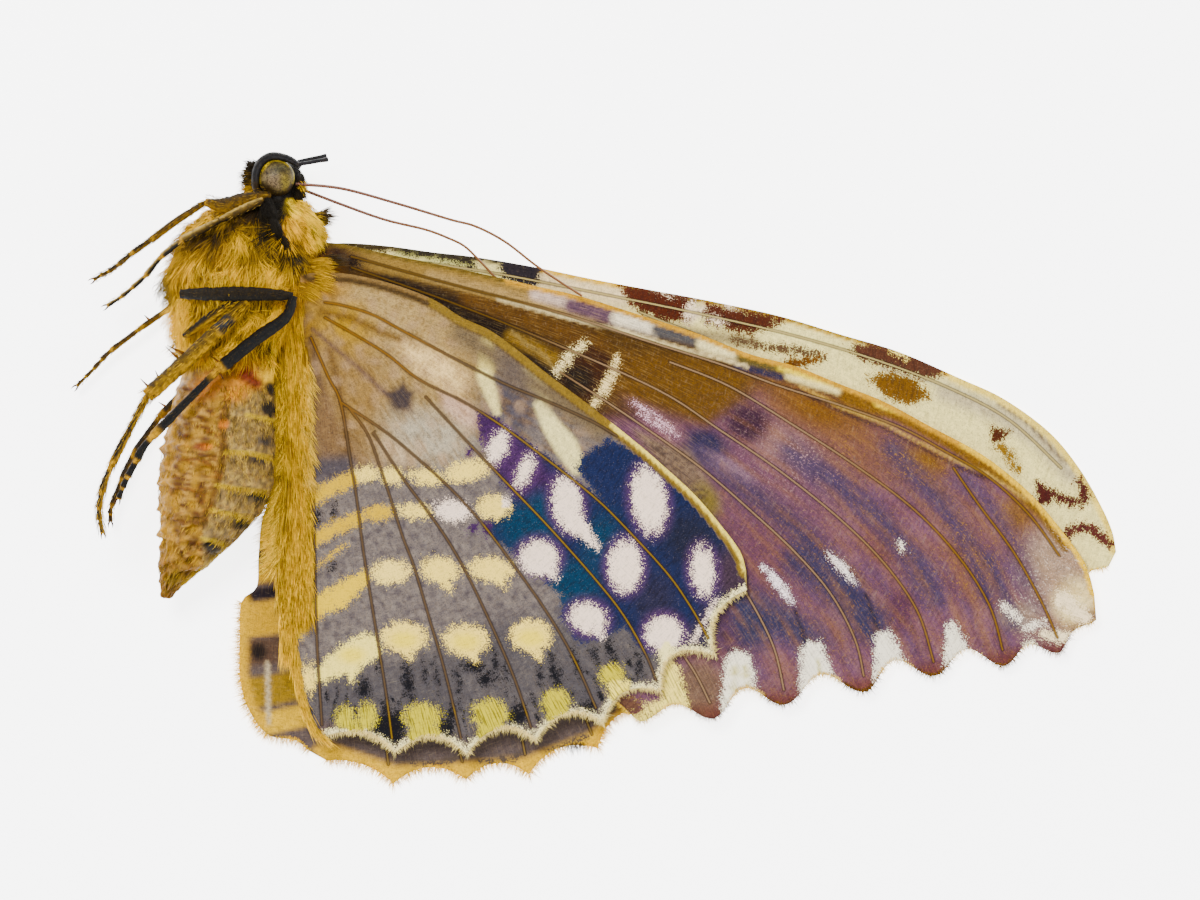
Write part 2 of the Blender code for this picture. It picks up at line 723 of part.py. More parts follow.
def band(home):
    """The fur along the inner margin of the upper hindwing."""
    made = []
    y = BAND_FROM
    while y < BAND_TO:
        for column in BAND_COLUMNS:
            x, row = column + random.uniform(-3.0, 3.0), y + random.uniform(-5.0, 5.0)
            length = BAND_LENGTH * random.uniform(0.8, 1.15) / GRID
            lean = random.uniform(*BAND_LEANS[column == BAND_COLUMNS[0] and y > BAND_LOOSE_FROM])
            lift = BAND_LIFT * random.uniform(0.8, 1.2)
            spine = []
            for share, rise in ((0.0, -0.00005), (0.3, lift), (0.65, lift), (1.0, lift * 0.9)):
                spot_x, spot_y = x + lean * length * share, row + length * share
                level = wing_level("wing_hind_left", spot_x, spot_y) + WING_THICKNESS / 2
                spine.append(place((spot_x, spot_y, level + rise)))
            width = BAND_WIDTH * random.uniform(0.85, 1.1)
            made.append(lock(f"band_{len(made)}", spine, width, BAND_DEPTH, Vector((0.0, 0.0, 1.0)), home))
        y += BAND_STEP
    return made


def thorn(name, base, tip, radius, home):
    """A tapered spine from base to tip."""
    along = tip - base
    shape = bmesh.new()
    bmesh.ops.create_cone(
        shape, cap_ends=True, segments=5, radius1=radius, radius2=radius * 0.3, depth=along.length
    )
    turn = along.to_track_quat("Z", "Y").to_matrix().to_4x4()
    bmesh.ops.transform(shape, matrix=Matrix.Translation((base + tip) / 2) @ turn, verts=shape.verts[:])
    return object_from(name, shape, home)


def limb_level(leg, part, x, y):
    """The height of a limb nearest to a plan point."""
    nearest = min(curved(LEGS[leg][part], 3), key=lambda point: math.hypot(point[0] - x, point[1] - y))
    return nearest[2]


def add_thorns(leg, parts, home):
    """The spurs of a leg's shin and the two claws of its foot."""
    spurs = []
    for number, (base, tip) in enumerate(SPURS.get(f"leg_{leg}_shin", [])):
        level = limb_level(leg, "shin", *base)
        spurs.append(
            thorn(f"spur_{number}", place((*base, level)), place((*tip, level + 0.0002)), SPUR_RADIUS, home)
        )
    if spurs:
        combine(parts["shin"], spurs, "UNION", "MANIFOLD")
        keep_largest(parts["shin"])
    end, before = (place(point) for point in (LEGS[leg]["foot"][-1], LEGS[leg]["foot"][-2]))
    along = (end - before).normalized()
    side = along.cross(Vector((0.0, 0.0, 1.0))).normalized()
    claws = []
    for sign in (-1, 1):
        aim = (along + side * sign * CLAW_SPREAD).normalized()
        base = end + Vector((0.0, 0.0, CLAW_DROP * sign)) - along * CLAW_RADIUS
        claws.append(thorn(f"claw_{sign}", base, end + aim * CLAW_LENGTH, CLAW_RADIUS, home))
    combine(parts["foot"], claws, "UNION", "MANIFOLD")
    keep_largest(parts["foot"])


def combine(target, pieces, operation, solver="EXACT"):
    """A Boolean of one object with a set of others, applied, and the others removed."""
    group = bpy.data.collections.new(target.name + "_" + operation.lower())
    bpy.context.scene.collection.children.link(group)
    for piece in pieces:
        for home in piece.users_collection:
            home.objects.unlink(piece)
        group.objects.link(piece)
    joint = target.modifiers.new(operation.lower(), "BOOLEAN")
    joint.operation = operation
    joint.operand_type = "COLLECTION"
    joint.collection = group
    joint.solver = solver
    bpy.context.view_layer.update()
    evaluated = target.evaluated_get(bpy.context.evaluated_depsgraph_get())
    mesh = bpy.data.meshes.new_from_object(evaluated)
    target.modifiers.remove(joint)
    target.data = mesh
    for piece in pieces:
        bpy.data.objects.remove(piece)
    bpy.data.collections.remove(group)


def keep_largest(target):
    """Drops all but the largest closed surface of an object."""
    shape = bmesh.new()
    shape.from_mesh(target.data)
    left = set(shape.verts)
    best, best_volume = None, 0.0
    groups = []
    while left:
        group, queue = set(), [left.pop()]
        while queue:
            vert = queue.pop()
            group.add(vert)
            for edge in vert.link_edges:
                other = edge.other_vert(vert)
                if other in left:
                    left.remove(other)
                    queue.append(other)
        groups.append(group)
    for group in groups:
        volume = 0.0
        for face in {face for vert in group for face in vert.link_faces}:
            corners = [vert.co for vert in face.verts]
            for second, third in zip(corners[1:], corners[2:]):
                volume += corners[0].dot(second.cross(third)) / 6
        if best is None or abs(volume) > best_volume:
            best, best_volume = group, abs(volume)
    loose = [vert for group in groups if group is not best for vert in group]
    bmesh.ops.delete(shape, geom=loose, context="VERTS")
    bmesh.ops.triangulate(shape, faces=shape.faces[:])
    shape.to_mesh(target.data)
    shape.free()


def paint(target, colour, roughness):
    """The object's own material."""
    material = bpy.data.materials.new(target.name)
    material.use_nodes = True
    shader = material.node_tree.nodes["Principled BSDF"]
    shader.inputs["Base Color"].default_value = (*colour, 1.0)
    shader.inputs["Roughness"].default_value = roughness
    shader.inputs["Metallic"].default_value = 0.0
    target.data.materials.clear()
    target.data.materials.append(material)


def leg_parts(name, grow, home):
    """The thigh, shin and foot of one leg, each a limb of its own."""
    leg = LEGS[name]
    thigh, shin, foot = (size / 2 for size in leg["thickness"])
    parts = {}
    for part, radius in (("thigh", thigh), ("shin", shin), ("foot", foot)):
        route = [place(point) for point in curved(leg[part], 1)]
        if part == "foot":
            radii = [radius * (1.1 if step % 2 == 0 else 0.85) for step in range(len(route))]
            radii[-1] = radius * 0.5
        elif part == "shin":
            radii = [radius * (0.75 + 0.25 * smooth(step, 0, len(route) - 1)) for step in range(len(route))]
            radii[-1] = radius * 0.8
        else:
            radii = [radius * 0.9] + [radius] * (len(route) - 1)
        last = route[-1] + (route[-1] - route[-2]).normalized() * radius * 0.5
        route.append(last)
        radii.append(radii[-1] * 0.6)
        node = f"leg_{name}_{part}" + ("_room" if grow else "")
        parts[part] = tube(node, route, radii, grow, home)
    return parts


def palp(side, grow, home):
    """One palp: a bent thick strap in front of the eye and a thin rod over the head."""
    sign = 1 if side == "left" else -1
    level = BODY_LEVEL + 0.0003 + sign * PALP_OFFSET
    strap = [place((x, y, level)) for x, y in PALP_PATH]
    rod = [place((x, y, level)) for x, y in PALP_ROD[side]]
    radii = [PALP_THICKNESS / 2] * len(strap) + [PALP_ROD_THICKNESS / 2] * len(rod)
    radii[len(strap) - 1] *= 0.8
    return tube("palp_" + side + ("_room" if grow else ""), strap + rod, radii, grow, home)


def antenna(side, grow, home):
    """One feeler, thin and tapering."""
    route = [place(point) for point in curved(ANTENNAE[side], 1)]
    last = len(route) - 1
    radii = [ANTENNA_THICKNESS / 2 * (1.1 - 0.45 * step / last) for step in range(last + 1)]
    return tube("antenna_" + side + ("_room" if grow else ""), route, radii, grow, home)


def eye(side, grow, home):
    """One eye, sunk in the side of the head."""
    sign = 1 if side == "left" else -1
    centre = place((*EYE_PLACE, BODY_LEVEL + 0.0003 + sign * EYE_OFFSET))
    return ball("eye_" + side + ("_room" if grow else ""), centre, EYE_RADIUS + grow, home)


def stepped(rings):
    """The rings of the abdomen with a small step inwards behind each seam."""
    full = []
    for ring in rings:
        full.append(ring)
        if ring[0] in ABDOMEN_SEAMS:
            y, belly, back, below, above, level = ring
            step = SEAM_STEP / GRID
            full.append((y + 2.5, belly + step, back - step, below - SEAM_STEP, above - SEAM_STEP, level))
    return full


def floor_block(home):
    """A block under the floor, which cuts flats where the body rests."""
    shape = bmesh.new()
    bmesh.ops.create_cube(shape, size=1.0)
    bmesh.ops.scale(shape, verts=shape.verts[:], vec=(0.3, 0.3, 0.01))
    bmesh.ops.translate(shape, verts=shape.verts[:], vec=(0.0, 0.0, -0.005))
    return object_from("floor_block", shape, home)


def settle(home):
    """Moves the whole animal so that the centre of its box is over the origin and its base at zero."""
    corners = [vert.co for part in home.objects for vert in part.data.vertices]
    low = Vector([min(corner[axis] for corner in corners) for axis in range(3)])
    high = Vector([max(corner[axis] for corner in corners) for axis in range(3)])
    shift = Vector(((low.x + high.x) / -2, (low.y + high.y) / -2, -low.z))
    for part in home.objects:
        part.data.transform(Matrix.Translation(shift))


def build():
    for old in list(bpy.data.objects):
        bpy.data.objects.remove(old)
    home = collection(COLLECTION)
    cutters = collection(COLLECTION + "_cutters", hidden=True)
    random.seed(SEED)

    hind = HIND_COSTA + margin(HIND_TEETH, HIND_SCALLOPS, True) + HIND_INNER
    fore = FORE_COSTA + margin(FORE_LOBES, FORE_NOTCHES, False) + FORE_INNER
    far_fore = FAR_FORE_COSTA + margin(FAR_FORE_LOBES, FORE_NOTCHES, False) + FORE_INNER
    far_hind = FAR_HIND_COSTA + margin(FAR_HIND_TEETH, FAR_HIND_SCALLOPS, True) + FAR_HIND_INNER
    wings = [
        wing("wing_hind_left", hind, HIND_VEINS, 30.0, home),
        wing("wing_fore_left", fore, FORE_VEINS, 34.0, home),
        wing("wing_fore_right", far_fore, FAR_FORE_VEINS, 42.0, home),
        wing("wing_hind_right", far_hind, FAR_HIND_VEINS, 40.0, home),
    ]
    for part in wings:
        paint(part, (0.30, 0.26, 0.24), 0.8)

    for name in LEGS:
        parts = leg_parts(name, 0.0, home)
        room = leg_parts(name, GAP, cutters)
        bpy.data.objects.remove(room["foot"])
        for part, cutter in (("shin", room["thigh"]), ("foot", room["shin"])):
            combine(parts[part], [cutter], "DIFFERENCE")
            keep_largest(parts[part])
        add_thorns(name, parts, cutters)
        for part in parts.values():
            paint(part, (0.05, 0.04, 0.03), 0.6)

    combine(wings[0], band(cutters), "UNION", "MANIFOLD")
    keep_largest(wings[0])

    thorax = loft("thorax", THORAX_RINGS, BODY_SIDES, 0.0, home)
    locks = coat(cutters) + tufts("collar", THORAX_RINGS, COLLAR_LOCKS, COLLAR_WIDTH, cutters)
    combine(thorax, locks, "UNION", "MANIFOLD")
    room = [wing_slot(name, cutters) for name in LEVELS]
    room += [part for name in LEGS for part in leg_parts(name, GAP, cutters).values()]
    room.append(loft("head_room", HEAD_RINGS, HEAD_SIDES, GAP, cutters))
    room.append(loft("abdomen_room", ABDOMEN_RINGS, BODY_SIDES, GAP, cutters))
    room += [make(side, GAP, cutters) for make in (eye, palp, antenna) for side in ("left", "right")]
    room.append(floor_block(cutters))
    combine(thorax, room, "DIFFERENCE", "MANIFOLD")
    keep_largest(thorax)
    paint(thorax, (0.45, 0.28, 0.05), 0.9)

    abdomen = loft("abdomen", stepped(ABDOMEN_RINGS), BODY_SIDES, 0.0, home)
    room = [part for name in LEGS for part in leg_parts(name, GAP, cutters).values()]
    room.append(floor_block(cutters))
    combine(abdomen, room, "DIFFERENCE")
    keep_largest(abdomen)
    paint(abdomen, (0.40, 0.26, 0.10), 0.7)

    head = loft("head", HEAD_RINGS, HEAD_SIDES, 0.0, home)
    combine(head, tufts("head", HEAD_RINGS, HEAD_LOCKS, HEAD_LOCK_WIDTH, cutters), "UNION", "MANIFOLD")
    room = []
    for side in ("left", "right"):
        paint(eye(side, 0.0, home), (0.25, 0.20, 0.08), 0.3)
        paint(palp(side, 0.0, home), (0.02, 0.02, 0.02), 0.7)
        paint(antenna(side, 0.0, home), (0.18, 0.07, 0.04), 0.6)
        room += [make(side, GAP, cutters) for make in (eye, palp, antenna)]
    combine(head, room, "DIFFERENCE", "MANIFOLD")
    keep_largest(head)
    paint(head, (0.10, 0.07, 0.03), 0.9)
    settle(home)


build()
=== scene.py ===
"""The looks of a white witch moth that lies on its right side, its wings closed over its back."""

import math

import bpy
import numpy as np
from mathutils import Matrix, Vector
from mathutils.geometry import delaunay_2d_cdt


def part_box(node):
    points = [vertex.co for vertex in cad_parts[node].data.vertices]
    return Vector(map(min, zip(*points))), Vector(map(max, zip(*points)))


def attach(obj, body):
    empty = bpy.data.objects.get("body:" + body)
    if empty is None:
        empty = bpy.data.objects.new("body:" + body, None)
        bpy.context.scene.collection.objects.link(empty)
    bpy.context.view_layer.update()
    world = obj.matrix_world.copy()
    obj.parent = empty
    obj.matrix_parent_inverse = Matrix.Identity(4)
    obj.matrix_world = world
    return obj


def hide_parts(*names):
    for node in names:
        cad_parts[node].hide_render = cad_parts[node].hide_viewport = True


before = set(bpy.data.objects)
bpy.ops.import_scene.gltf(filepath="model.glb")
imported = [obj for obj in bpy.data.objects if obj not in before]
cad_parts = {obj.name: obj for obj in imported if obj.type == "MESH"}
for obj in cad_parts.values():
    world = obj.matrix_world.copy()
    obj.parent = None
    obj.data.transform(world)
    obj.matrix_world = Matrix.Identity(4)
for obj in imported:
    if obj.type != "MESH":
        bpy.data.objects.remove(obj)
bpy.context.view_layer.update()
root = "root"

# One step of the plan grid, on which every pair (x, y) is drawn: x runs to the right, y down.
GRID = 0.000145
PLAN_CENTRE = (600.0, 470.0)
VIEW_CENTRE = (600.0, 450.0)
VIEW_WIDTH = 1200.0
SEED = 11

# The upper eye's centre in the plan and its height there, which tie the plan to the frame.
EYE_PLACE = (277.7, 179.0)
EYE_LEVEL = 0.0115

# The levels of the four wings at their roots and far from them, as in the solids.
LEVELS = {
    "wing_hind_left": (0.0140, 0.00355),
    "wing_fore_left": (0.0118, 0.00245),
    "wing_fore_right": (0.0048, 0.00135),
    "wing_hind_right": (0.0030, 0.00025),
}
WING_CENTRE = (310.0, 280.0)
LEVEL_REACH = 0.025
LEVEL_CUT = 0.05
PLEAT_HEIGHT = 0.0006
PLEATS_PER_TURN = 17.0
PLEAT_CUT = 0.25
PLEAT_FULL_AT = 0.060
TIP_DROP = 0.0011
TIP_DROP_FROM, TIP_DROP_TO = 760.0, 1010.0

# A wing's membrane above and below its middle level, its veins and its soft waves.
MEMBRANE_TOP = 0.00012
MEMBRANE_BASE = -0.00010
VEIN_HEIGHT = 0.00016
VEIN_HALF_WIDTH = 2.3
WAVE_HEIGHT = 0.00009
# The soft waves' counts per turn about the wings' centre and their shares.
WAVE_COUNTS = (41, 23)
WAVE_SHARES = (0.6, 0.4)

# Each wing's front edge, the vein ends on its outer margin, how far the margin cuts in between them,
# its inner edge and its veins. The far ones are the lower wings.
HIND_COSTA = [
    (312, 274), (344, 274), (388, 283), (432, 299), (461, 317), (491, 331), (520, 352), (549, 375),
    (593, 408), (637, 443), (667, 469), (696, 496), (720, 524), (740, 551), (746, 570),
]
HIND_TEETH = [
    (747, 590), (716, 657), (661, 692), (603, 724), (536, 741), (467, 754.5), (395, 753), (322, 737),
]
HIND_SCALLOPS = [17, 25, 18, 19, 19, 17, 12]
HIND_INNER = [
    (304, 706), (294, 655), (286, 612), (290, 575), (290, 545), (289, 489), (287, 418), (288, 360),
    (290, 330), (292, 306), (298, 276),
]
HIND_VEINS = [
    [
        (326, 303), (344, 306), (373, 315), (403, 331), (461, 362), (505, 384), (549, 402), (593, 422),
        (617, 436),
    ],
    [
        (326, 318), (359, 337), (388, 355), (420, 380), (464, 402), (505, 428), (549, 461), (593, 496),
        (623, 525), (667, 573), (692, 609), (708, 638),
    ],
    [(426, 397), (464, 438), (505, 481), (549, 527), (596, 580), (624, 616), (646, 655), (656, 680)],
    [
        (312, 338), (329, 377), (341, 402), (350, 455), (357, 499), (364, 554), (378, 642), (386, 693),
        (392, 738),
    ],
    [
        (351, 410), (368, 434), (379, 463), (391, 499), (403, 537), (414, 566), (429, 617), (444, 668),
        (461, 738),
    ],
    [(374, 433), (403, 478), (426, 509), (447, 539), (467, 574), (490, 622), (513, 675), (531, 727)],
    [
        (341, 402), (386, 432), (423, 463), (453, 491), (482, 523), (513, 564), (546, 611), (572, 655),
        (596, 708),
    ],
    [(314, 500), (315, 560), (317, 640), (322, 725)],
]

FORE_COSTA = [
    (322, 243), (345, 245), (400, 257), (464, 270), (535, 286),
    (579, 296), (637, 314), (696, 333), (750, 354),
    (795, 366), (840, 384), (885, 402), (930, 426), (975, 450), (1005, 471), (1035, 498), (1065, 534),
    (1086, 564), (1095, 594),
]
FORE_LOBES = [
    (1097, 620), (1060, 653), (1005, 666), (935, 676), (865, 692),
    (785, 705), (713, 719), (640, 722), (585, 690),
]
FORE_NOTCHES = [7, 15, 22, 24, 24, 24, 16, 6]
FORE_INNER = [(510, 590), (440, 470), (380, 360), (335, 296), (308, 276), (306, 262)]
FORE_VEINS = [
    [
        (352, 257), (450, 284), (560, 313), (650, 342), (720, 364), (780, 386), (840, 405), (900, 427),
        (945, 451), (990, 478), (1030, 515), (1060, 556),
    ],
    [(954, 468), (978, 503), (1014, 552), (1041, 600), (1058, 638)],
    [(670, 362), (729, 386), (795, 426), (855, 465), (915, 510), (960, 558), (990, 606), (1003, 650)],
    [
        (352, 268), (450, 302), (560, 346), (660, 391), (720, 430), (780, 471), (840, 519), (885, 564),
        (918, 612), (934, 662),
    ],
    [
        (560, 372), (610, 404), (660, 438), (705, 471), (750, 510),
        (795, 552), (831, 594), (855, 639), (864, 676),
    ],
    [(600, 455), (690, 535), (735, 580), (753, 605), (774, 648), (784, 690)],
    [(580, 530), (650, 612), (690, 665), (710, 703)],
]

FAR_FORE_COSTA = [
    (317, 246), (344, 243), (388, 246), (432, 252), (476, 257),
    (535, 267), (593, 279), (652, 290), (711, 301),
    (780, 316), (840, 334), (900, 352), (960, 378), (1005, 399), (1050, 432), (1080, 468), (1101, 504),
    (1113, 531), (1117, 552),
]
FAR_FORE_LOBES = [
    (1110, 566), (1078, 590), (1024, 608), (955, 622), (888, 643),
    (810, 662), (738, 682), (664, 688), (606, 664),
]
FAR_FORE_VEINS = [
    [
        (352, 254), (476, 270), (593, 292), (711, 316), (800, 337),
        (880, 361), (950, 388), (1010, 420), (1062, 468),
    ],
    [(640, 312), (760, 362), (860, 420), (940, 485), (990, 545), (1018, 592)],
    [(440, 290), (560, 334), (680, 396), (790, 474), (870, 552), (935, 640)],
]

FAR_HIND_COSTA = [
    (309, 300), (344, 302), (388, 310), (432, 326), (491, 358), (549, 402), (593, 435), (637, 470),
    (667, 496), (696, 523), (720, 551), (730, 580),
]
FAR_HIND_TEETH = [
    (728, 606), (698, 662), (652, 708), (598, 749), (529, 775), (466, 780), (393, 784), (326, 761),
]
FAR_HIND_SCALLOPS = [12, 14, 14, 14, 14, 14, 8]
FAR_HIND_INNER = [
    (308, 751), (295, 741), (271, 737), (258, 726), (245, 703),
    (239, 676), (239, 639), (241, 602), (256, 587),
    (258, 555), (263, 515), (284, 470), (288, 410), (291, 350), (293, 310), (299, 299),
]
FAR_HIND_VEINS = [
    [(330, 352), (400, 384), (464, 430), (549, 492), (623, 556), (668, 610), (690, 648)],
    [(345, 430), (354, 525), (372, 640), (388, 765)],
    [(372, 450), (400, 540), (432, 650), (462, 762)],
    [(392, 458), (450, 528), (500, 640), (525, 755)],
    [(420, 462), (500, 560), (560, 660), (592, 735)],
]


# How bright each amount of light looks on the screen, and how much light white paper gives here.
SHOWN = (0, 3, 7, 15, 26, 42, 58, 77, 96, 118, 135, 153, 170, 184, 196, 208, 217, 225, 255)
GIVEN = (
    0.0, 0.002, 0.004, 0.008, 0.015, 0.03, 0.05, 0.08, 0.12, 0.18, 0.25, 0.35, 0.5, 0.7, 1.0, 1.4, 2.0,
    2.8, 6.0,
)
PAPER_LIGHT = 2.3
LIGHTEST = 0.88
DARKEST = 0.0015
RICHNESS = 1.32
GAMMA = 2.2
BRIGHTNESS = (0.2126, 0.7152, 0.0722)
COOL_RANGE = 60.0

# Amber colours, told by their green for their red, get a little more green.
AMBER_LIFT = 0.2
AMBER_GREEN = 0.70
AMBER_RANGE = 0.2


def tone(red, green, blue):
    """The surface colour that looks about like this screen colour in the studio's light."""
    light = np.array((red, green, blue), float) / 255
    amber = max(0.0, 1 - abs(green / max(red, 1) - AMBER_GREEN) / AMBER_RANGE)
    amber *= 1 - blue / max(red, blue, 1)
    light = light ** GAMMA
    light[1] *= 1 + AMBER_LIFT * amber
    whole = light @ BRIGHTNESS + 1e-6
    wanted = np.interp(255 * whole ** (1 / GAMMA), SHOWN, GIVEN) / PAPER_LIGHT
    rich = np.maximum(wanted + (light * wanted / whole - wanted) * RICHNESS, DARKEST)
    apart = np.interp((red, green, blue), SHOWN, GIVEN) / PAPER_LIGHT
    cool = min(max((blue - red) / COOL_RANGE + 0.5, 0.0), 1.0)
    rich = rich * (1 - cool) + apart * cool
    return tuple(float(part) for part in rich * min(1.0, LIGHTEST / rich.max()))


def plan_shift():
    """What takes the plan's own place to the frame's, read from the upper eye."""
    low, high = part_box("eye_left")
    centre = (Vector(low) + Vector(high)) / 2
    drawn = Vector((
        (EYE_PLACE[0] - PLAN_CENTRE[0]) * GRID, (PLAN_CENTRE[1] - EYE_PLACE[1]) * GRID, EYE_LEVEL
    ))
    return np.array(centre - drawn)


SHIFT = plan_shift()


def place(points, levels=None):
    """Frame places of plan points, with their levels as a third column or apart."""
    points = np.asarray(points, float)
    if levels is None:
        levels = points[..., 2]
    across = (points[..., 0] - PLAN_CENTRE[0]) * GRID
    up = (PLAN_CENTRE[1] - points[..., 1]) * GRID
    return np.stack((across, up, np.broadcast_to(levels, across.shape)), axis=-1) + SHIFT


def smooth(value, low, high):
    """0 below low, 1 above high, and an even curve between."""
    share = np.clip((value - low) / (high - low), 0.0, 1.0)
    return share * share * (3 - 2 * share)


def wing_level(name, x, y):
    """The height of a wing's middle surface over plan points."""
    across, down = x - WING_CENTRE[0], y - WING_CENTRE[1]
    distance = np.hypot(across, down) * GRID
    fall = np.maximum(0.0, np.exp(-distance / LEVEL_REACH) - LEVEL_CUT) / (1 - LEVEL_CUT)
    wave = np.maximum(0.0, np.sin(PLEATS_PER_TURN * np.arctan2(down, across)) - PLEAT_CUT)
    pleat = PLEAT_HEIGHT * wave * smooth(distance, 0.0, PLEAT_FULL_AT)
    at_root, far_out = LEVELS[name]
    level = far_out + (at_root - far_out) * fall + pleat
    if "fore" in name:
        level = level - TIP_DROP * smooth(x, TIP_DROP_FROM, TIP_DROP_TO)
    return level


def curved(line, step):
    """Points about a step apart on a smooth curve through a line's points, with every column kept."""
    points = np.asarray(line, float)
    before = np.vstack((points[:1], points, points[-1:]))
    full = []
    for number in range(len(points) - 1):
        a, b, c, d = before[number:number + 4]
        count = max(1, int(round(np.linalg.norm((c - b)[:2]) / step)))
        t = (np.arange(count) / count)[:, None]
        bend = (c - a) * t + (2 * a - 5 * b + 4 * c - d) * t ** 2
        full.append(b + (bend + (3 * b - a - 3 * c + d) * t ** 3) / 2)
    full.append(points[-1:])
    return np.vstack(full)


def margin(ends, depths, pointed, step):
    """A wing's outer margin: from vein end to vein end, in by each depth between them."""
    line = []
    for start, end, depth in zip(ends, ends[1:], depths):
        start, end = np.array(start, float), np.array(end, float)
        along = end - start
        length = np.hypot(*along)
        inward = np.array((-along[1], along[0])) / length
        count = max(4, int(round(length / step)))
        t = (np.arange(count) / count)[:, None]
        share = 1 - (2 * t - 1) ** 2 if pointed else np.sin(np.pi * t) ** 2
        line.append(start + along * t + inward * depth * share)
    line.append(np.array([ends[-1]], float))
    return np.vstack(line)


def away(points, line):
    """How far plan points are from a line, and where along it, counted in its points."""
    points, line = np.asarray(points, float), np.asarray(line, float)
    least = np.full(len(points), np.inf)
    where = np.zeros(len(points))
    for number, (start, end) in enumerate(zip(line, line[1:])):
        along = end - start
        share = np.clip(((points - start) @ along) / max(along @ along, 1e-9), 0.0, 1.0)
        distance = np.hypot(*(points - start - share[:, None] * along).T)
        nearer = distance < least
        least = np.where(nearer, distance, least)
        where = np.where(nearer, number + share, where)
    return least, where


def inside(points, outline):
    """Whether plan points lie inside a closed outline."""
    x, y = np.asarray(points, float).T
    within = np.zeros(len(x), bool)
    closed = np.vstack((outline, outline[:1]))
    for (xa, ya), (xb, yb) in zip(closed, closed[1:]):
        if ya != yb:
            crosses = ((ya > y) != (yb > y)) & (x < xa + (y - ya) / (yb - ya) * (xb - xa))
            within ^= crosses
    return within


def stroke(points, line, *widths):
    """How deep plan points lie inside a stroke of one width, or of one for each of its points."""
    distance, where = away(points, line)
    if len(widths) == 1:
        return widths[0] / 2 - distance
    return np.interp(where, range(len(widths)), widths) / 2 - distance


def spot(points, x, y, wide, high, turn=0.0):
    """How deep plan points lie inside an oval spot, turned clockwise by degrees."""
    cosine, sine = math.cos(math.radians(turn)), math.sin(math.radians(turn))
    across, down = points[:, 0] - x, points[:, 1] - y
    u = (across * cosine + down * sine) / (wide / 2)
    v = (down * cosine - across * sine) / (high / 2)
    return (1 - np.hypot(u, v)) * min(wide, high) / 2


def patch(points, corners):
    """How deep plan points lie inside a patch with these corners."""
    outline = np.asarray(corners, float)
    distance, _ = away(points, np.vstack((outline, outline[:1])))
    return np.where(inside(points, outline), distance, -distance)


def shape(points, row):
    """How deep plan points lie in a row's shape, and the rest of the row.

    A row starts with an oval spot's centre, width, height and turn, with a line and its width or
    widths, or with a patch's corners and a width of 0.
    """
    if not isinstance(row[0], list):
        return spot(points, *row[:5]), row[5:]
    if row[1] == 0:
        return patch(points, row[0]), row[2:]
    return stroke(points, row[0], *np.atleast_1d(row[1])), row[2:]


def cloud(points, size, seed, waves=12):
    """Smooth random hills over points, mostly between -1 and 1."""
    source = np.random.default_rng(seed)
    points = np.asarray(points, float)
    total = np.zeros(points.shape[:-1])
    for _ in range(waves):
        aim = source.normal(size=points.shape[-1])
        aim *= 2 * math.pi / size * source.uniform(0.6, 1.6) / np.linalg.norm(aim)
        total += np.sin(points @ aim + source.uniform(0, 2 * math.pi))
    return total / math.sqrt(waves / 2) / 1.6


# How far the forewings' veins have turned from a straight line at each reach, in degrees.
VEIN_REACHES = (140, 370, 560, 700, 790)
VEIN_TURNS = (0, 7, 12.5, 18, 23)
FAN_RADIUS = 450.0


def fanned(points, stretch, bent=False):
    """Plan points as reach and turn about the wings' centre, the reach drawn together."""
    across, down = points[:, 0] - WING_CENTRE[0], points[:, 1] - WING_CENTRE[1]
    reach = np.hypot(across, down)
    turn = np.arctan2(down, across)
    if bent:
        turn = turn - np.radians(np.interp(reach, VEIN_REACHES, VEIN_TURNS))
    return np.stack((reach * stretch, turn * FAN_RADIUS), axis=1)


# The depth of points that lie in no mark, so deep outside that no soft edge reaches them.
NOWHERE = -20.0


def only(where, depth):
    """The depths of the points chosen, and nowhere for the rest."""
    return np.where(where, depth, NOWHERE)


class Paint:
    """Colours of points, laid over one another with soft edges."""

    def __init__(self, points, colour):
        self.points = points
        self.colours = np.tile(np.array(tone(*colour)), (len(points), 1))

    def over(self, depth, colour, soft, strength=1.0):
        share = (smooth(depth, -soft, soft) * strength)[:, None]
        self.colours = self.colours * (1 - share) + np.array(tone(*colour)) * share
        return self

    def lay(self, rows):
        for row in rows:
            depth, look = shape(self.points, row)
            self.over(depth, *look)
        return self


# How far the outlines of marks wander, and how large the wander's hills are.
MARK_WOBBLE = 1.3
WOBBLE_SIZE = 13.0


class Marks:
    """Crisp marks of points: how deep each point lies in one, and the marks' colours."""

    def __init__(self, points, colour):
        self.points = points
        self.depth = np.full(len(points), NOWHERE)
        self.wobble = cloud(points, WOBBLE_SIZE, 71) * MARK_WOBBLE
        self.tint = Paint(points, colour)

    def add(self, depth, colour, weight=0.0):
        depth = depth + self.wobble
        nearer = depth + weight > self.depth
        self.tint.colours[nearer] = tone(*colour)
        self.depth = np.maximum(self.depth, depth + weight)
        return self

    def lay(self, rows):
        for row in rows:
            depth, look = shape(self.points, row)
            self.add(depth, *look)
        return self


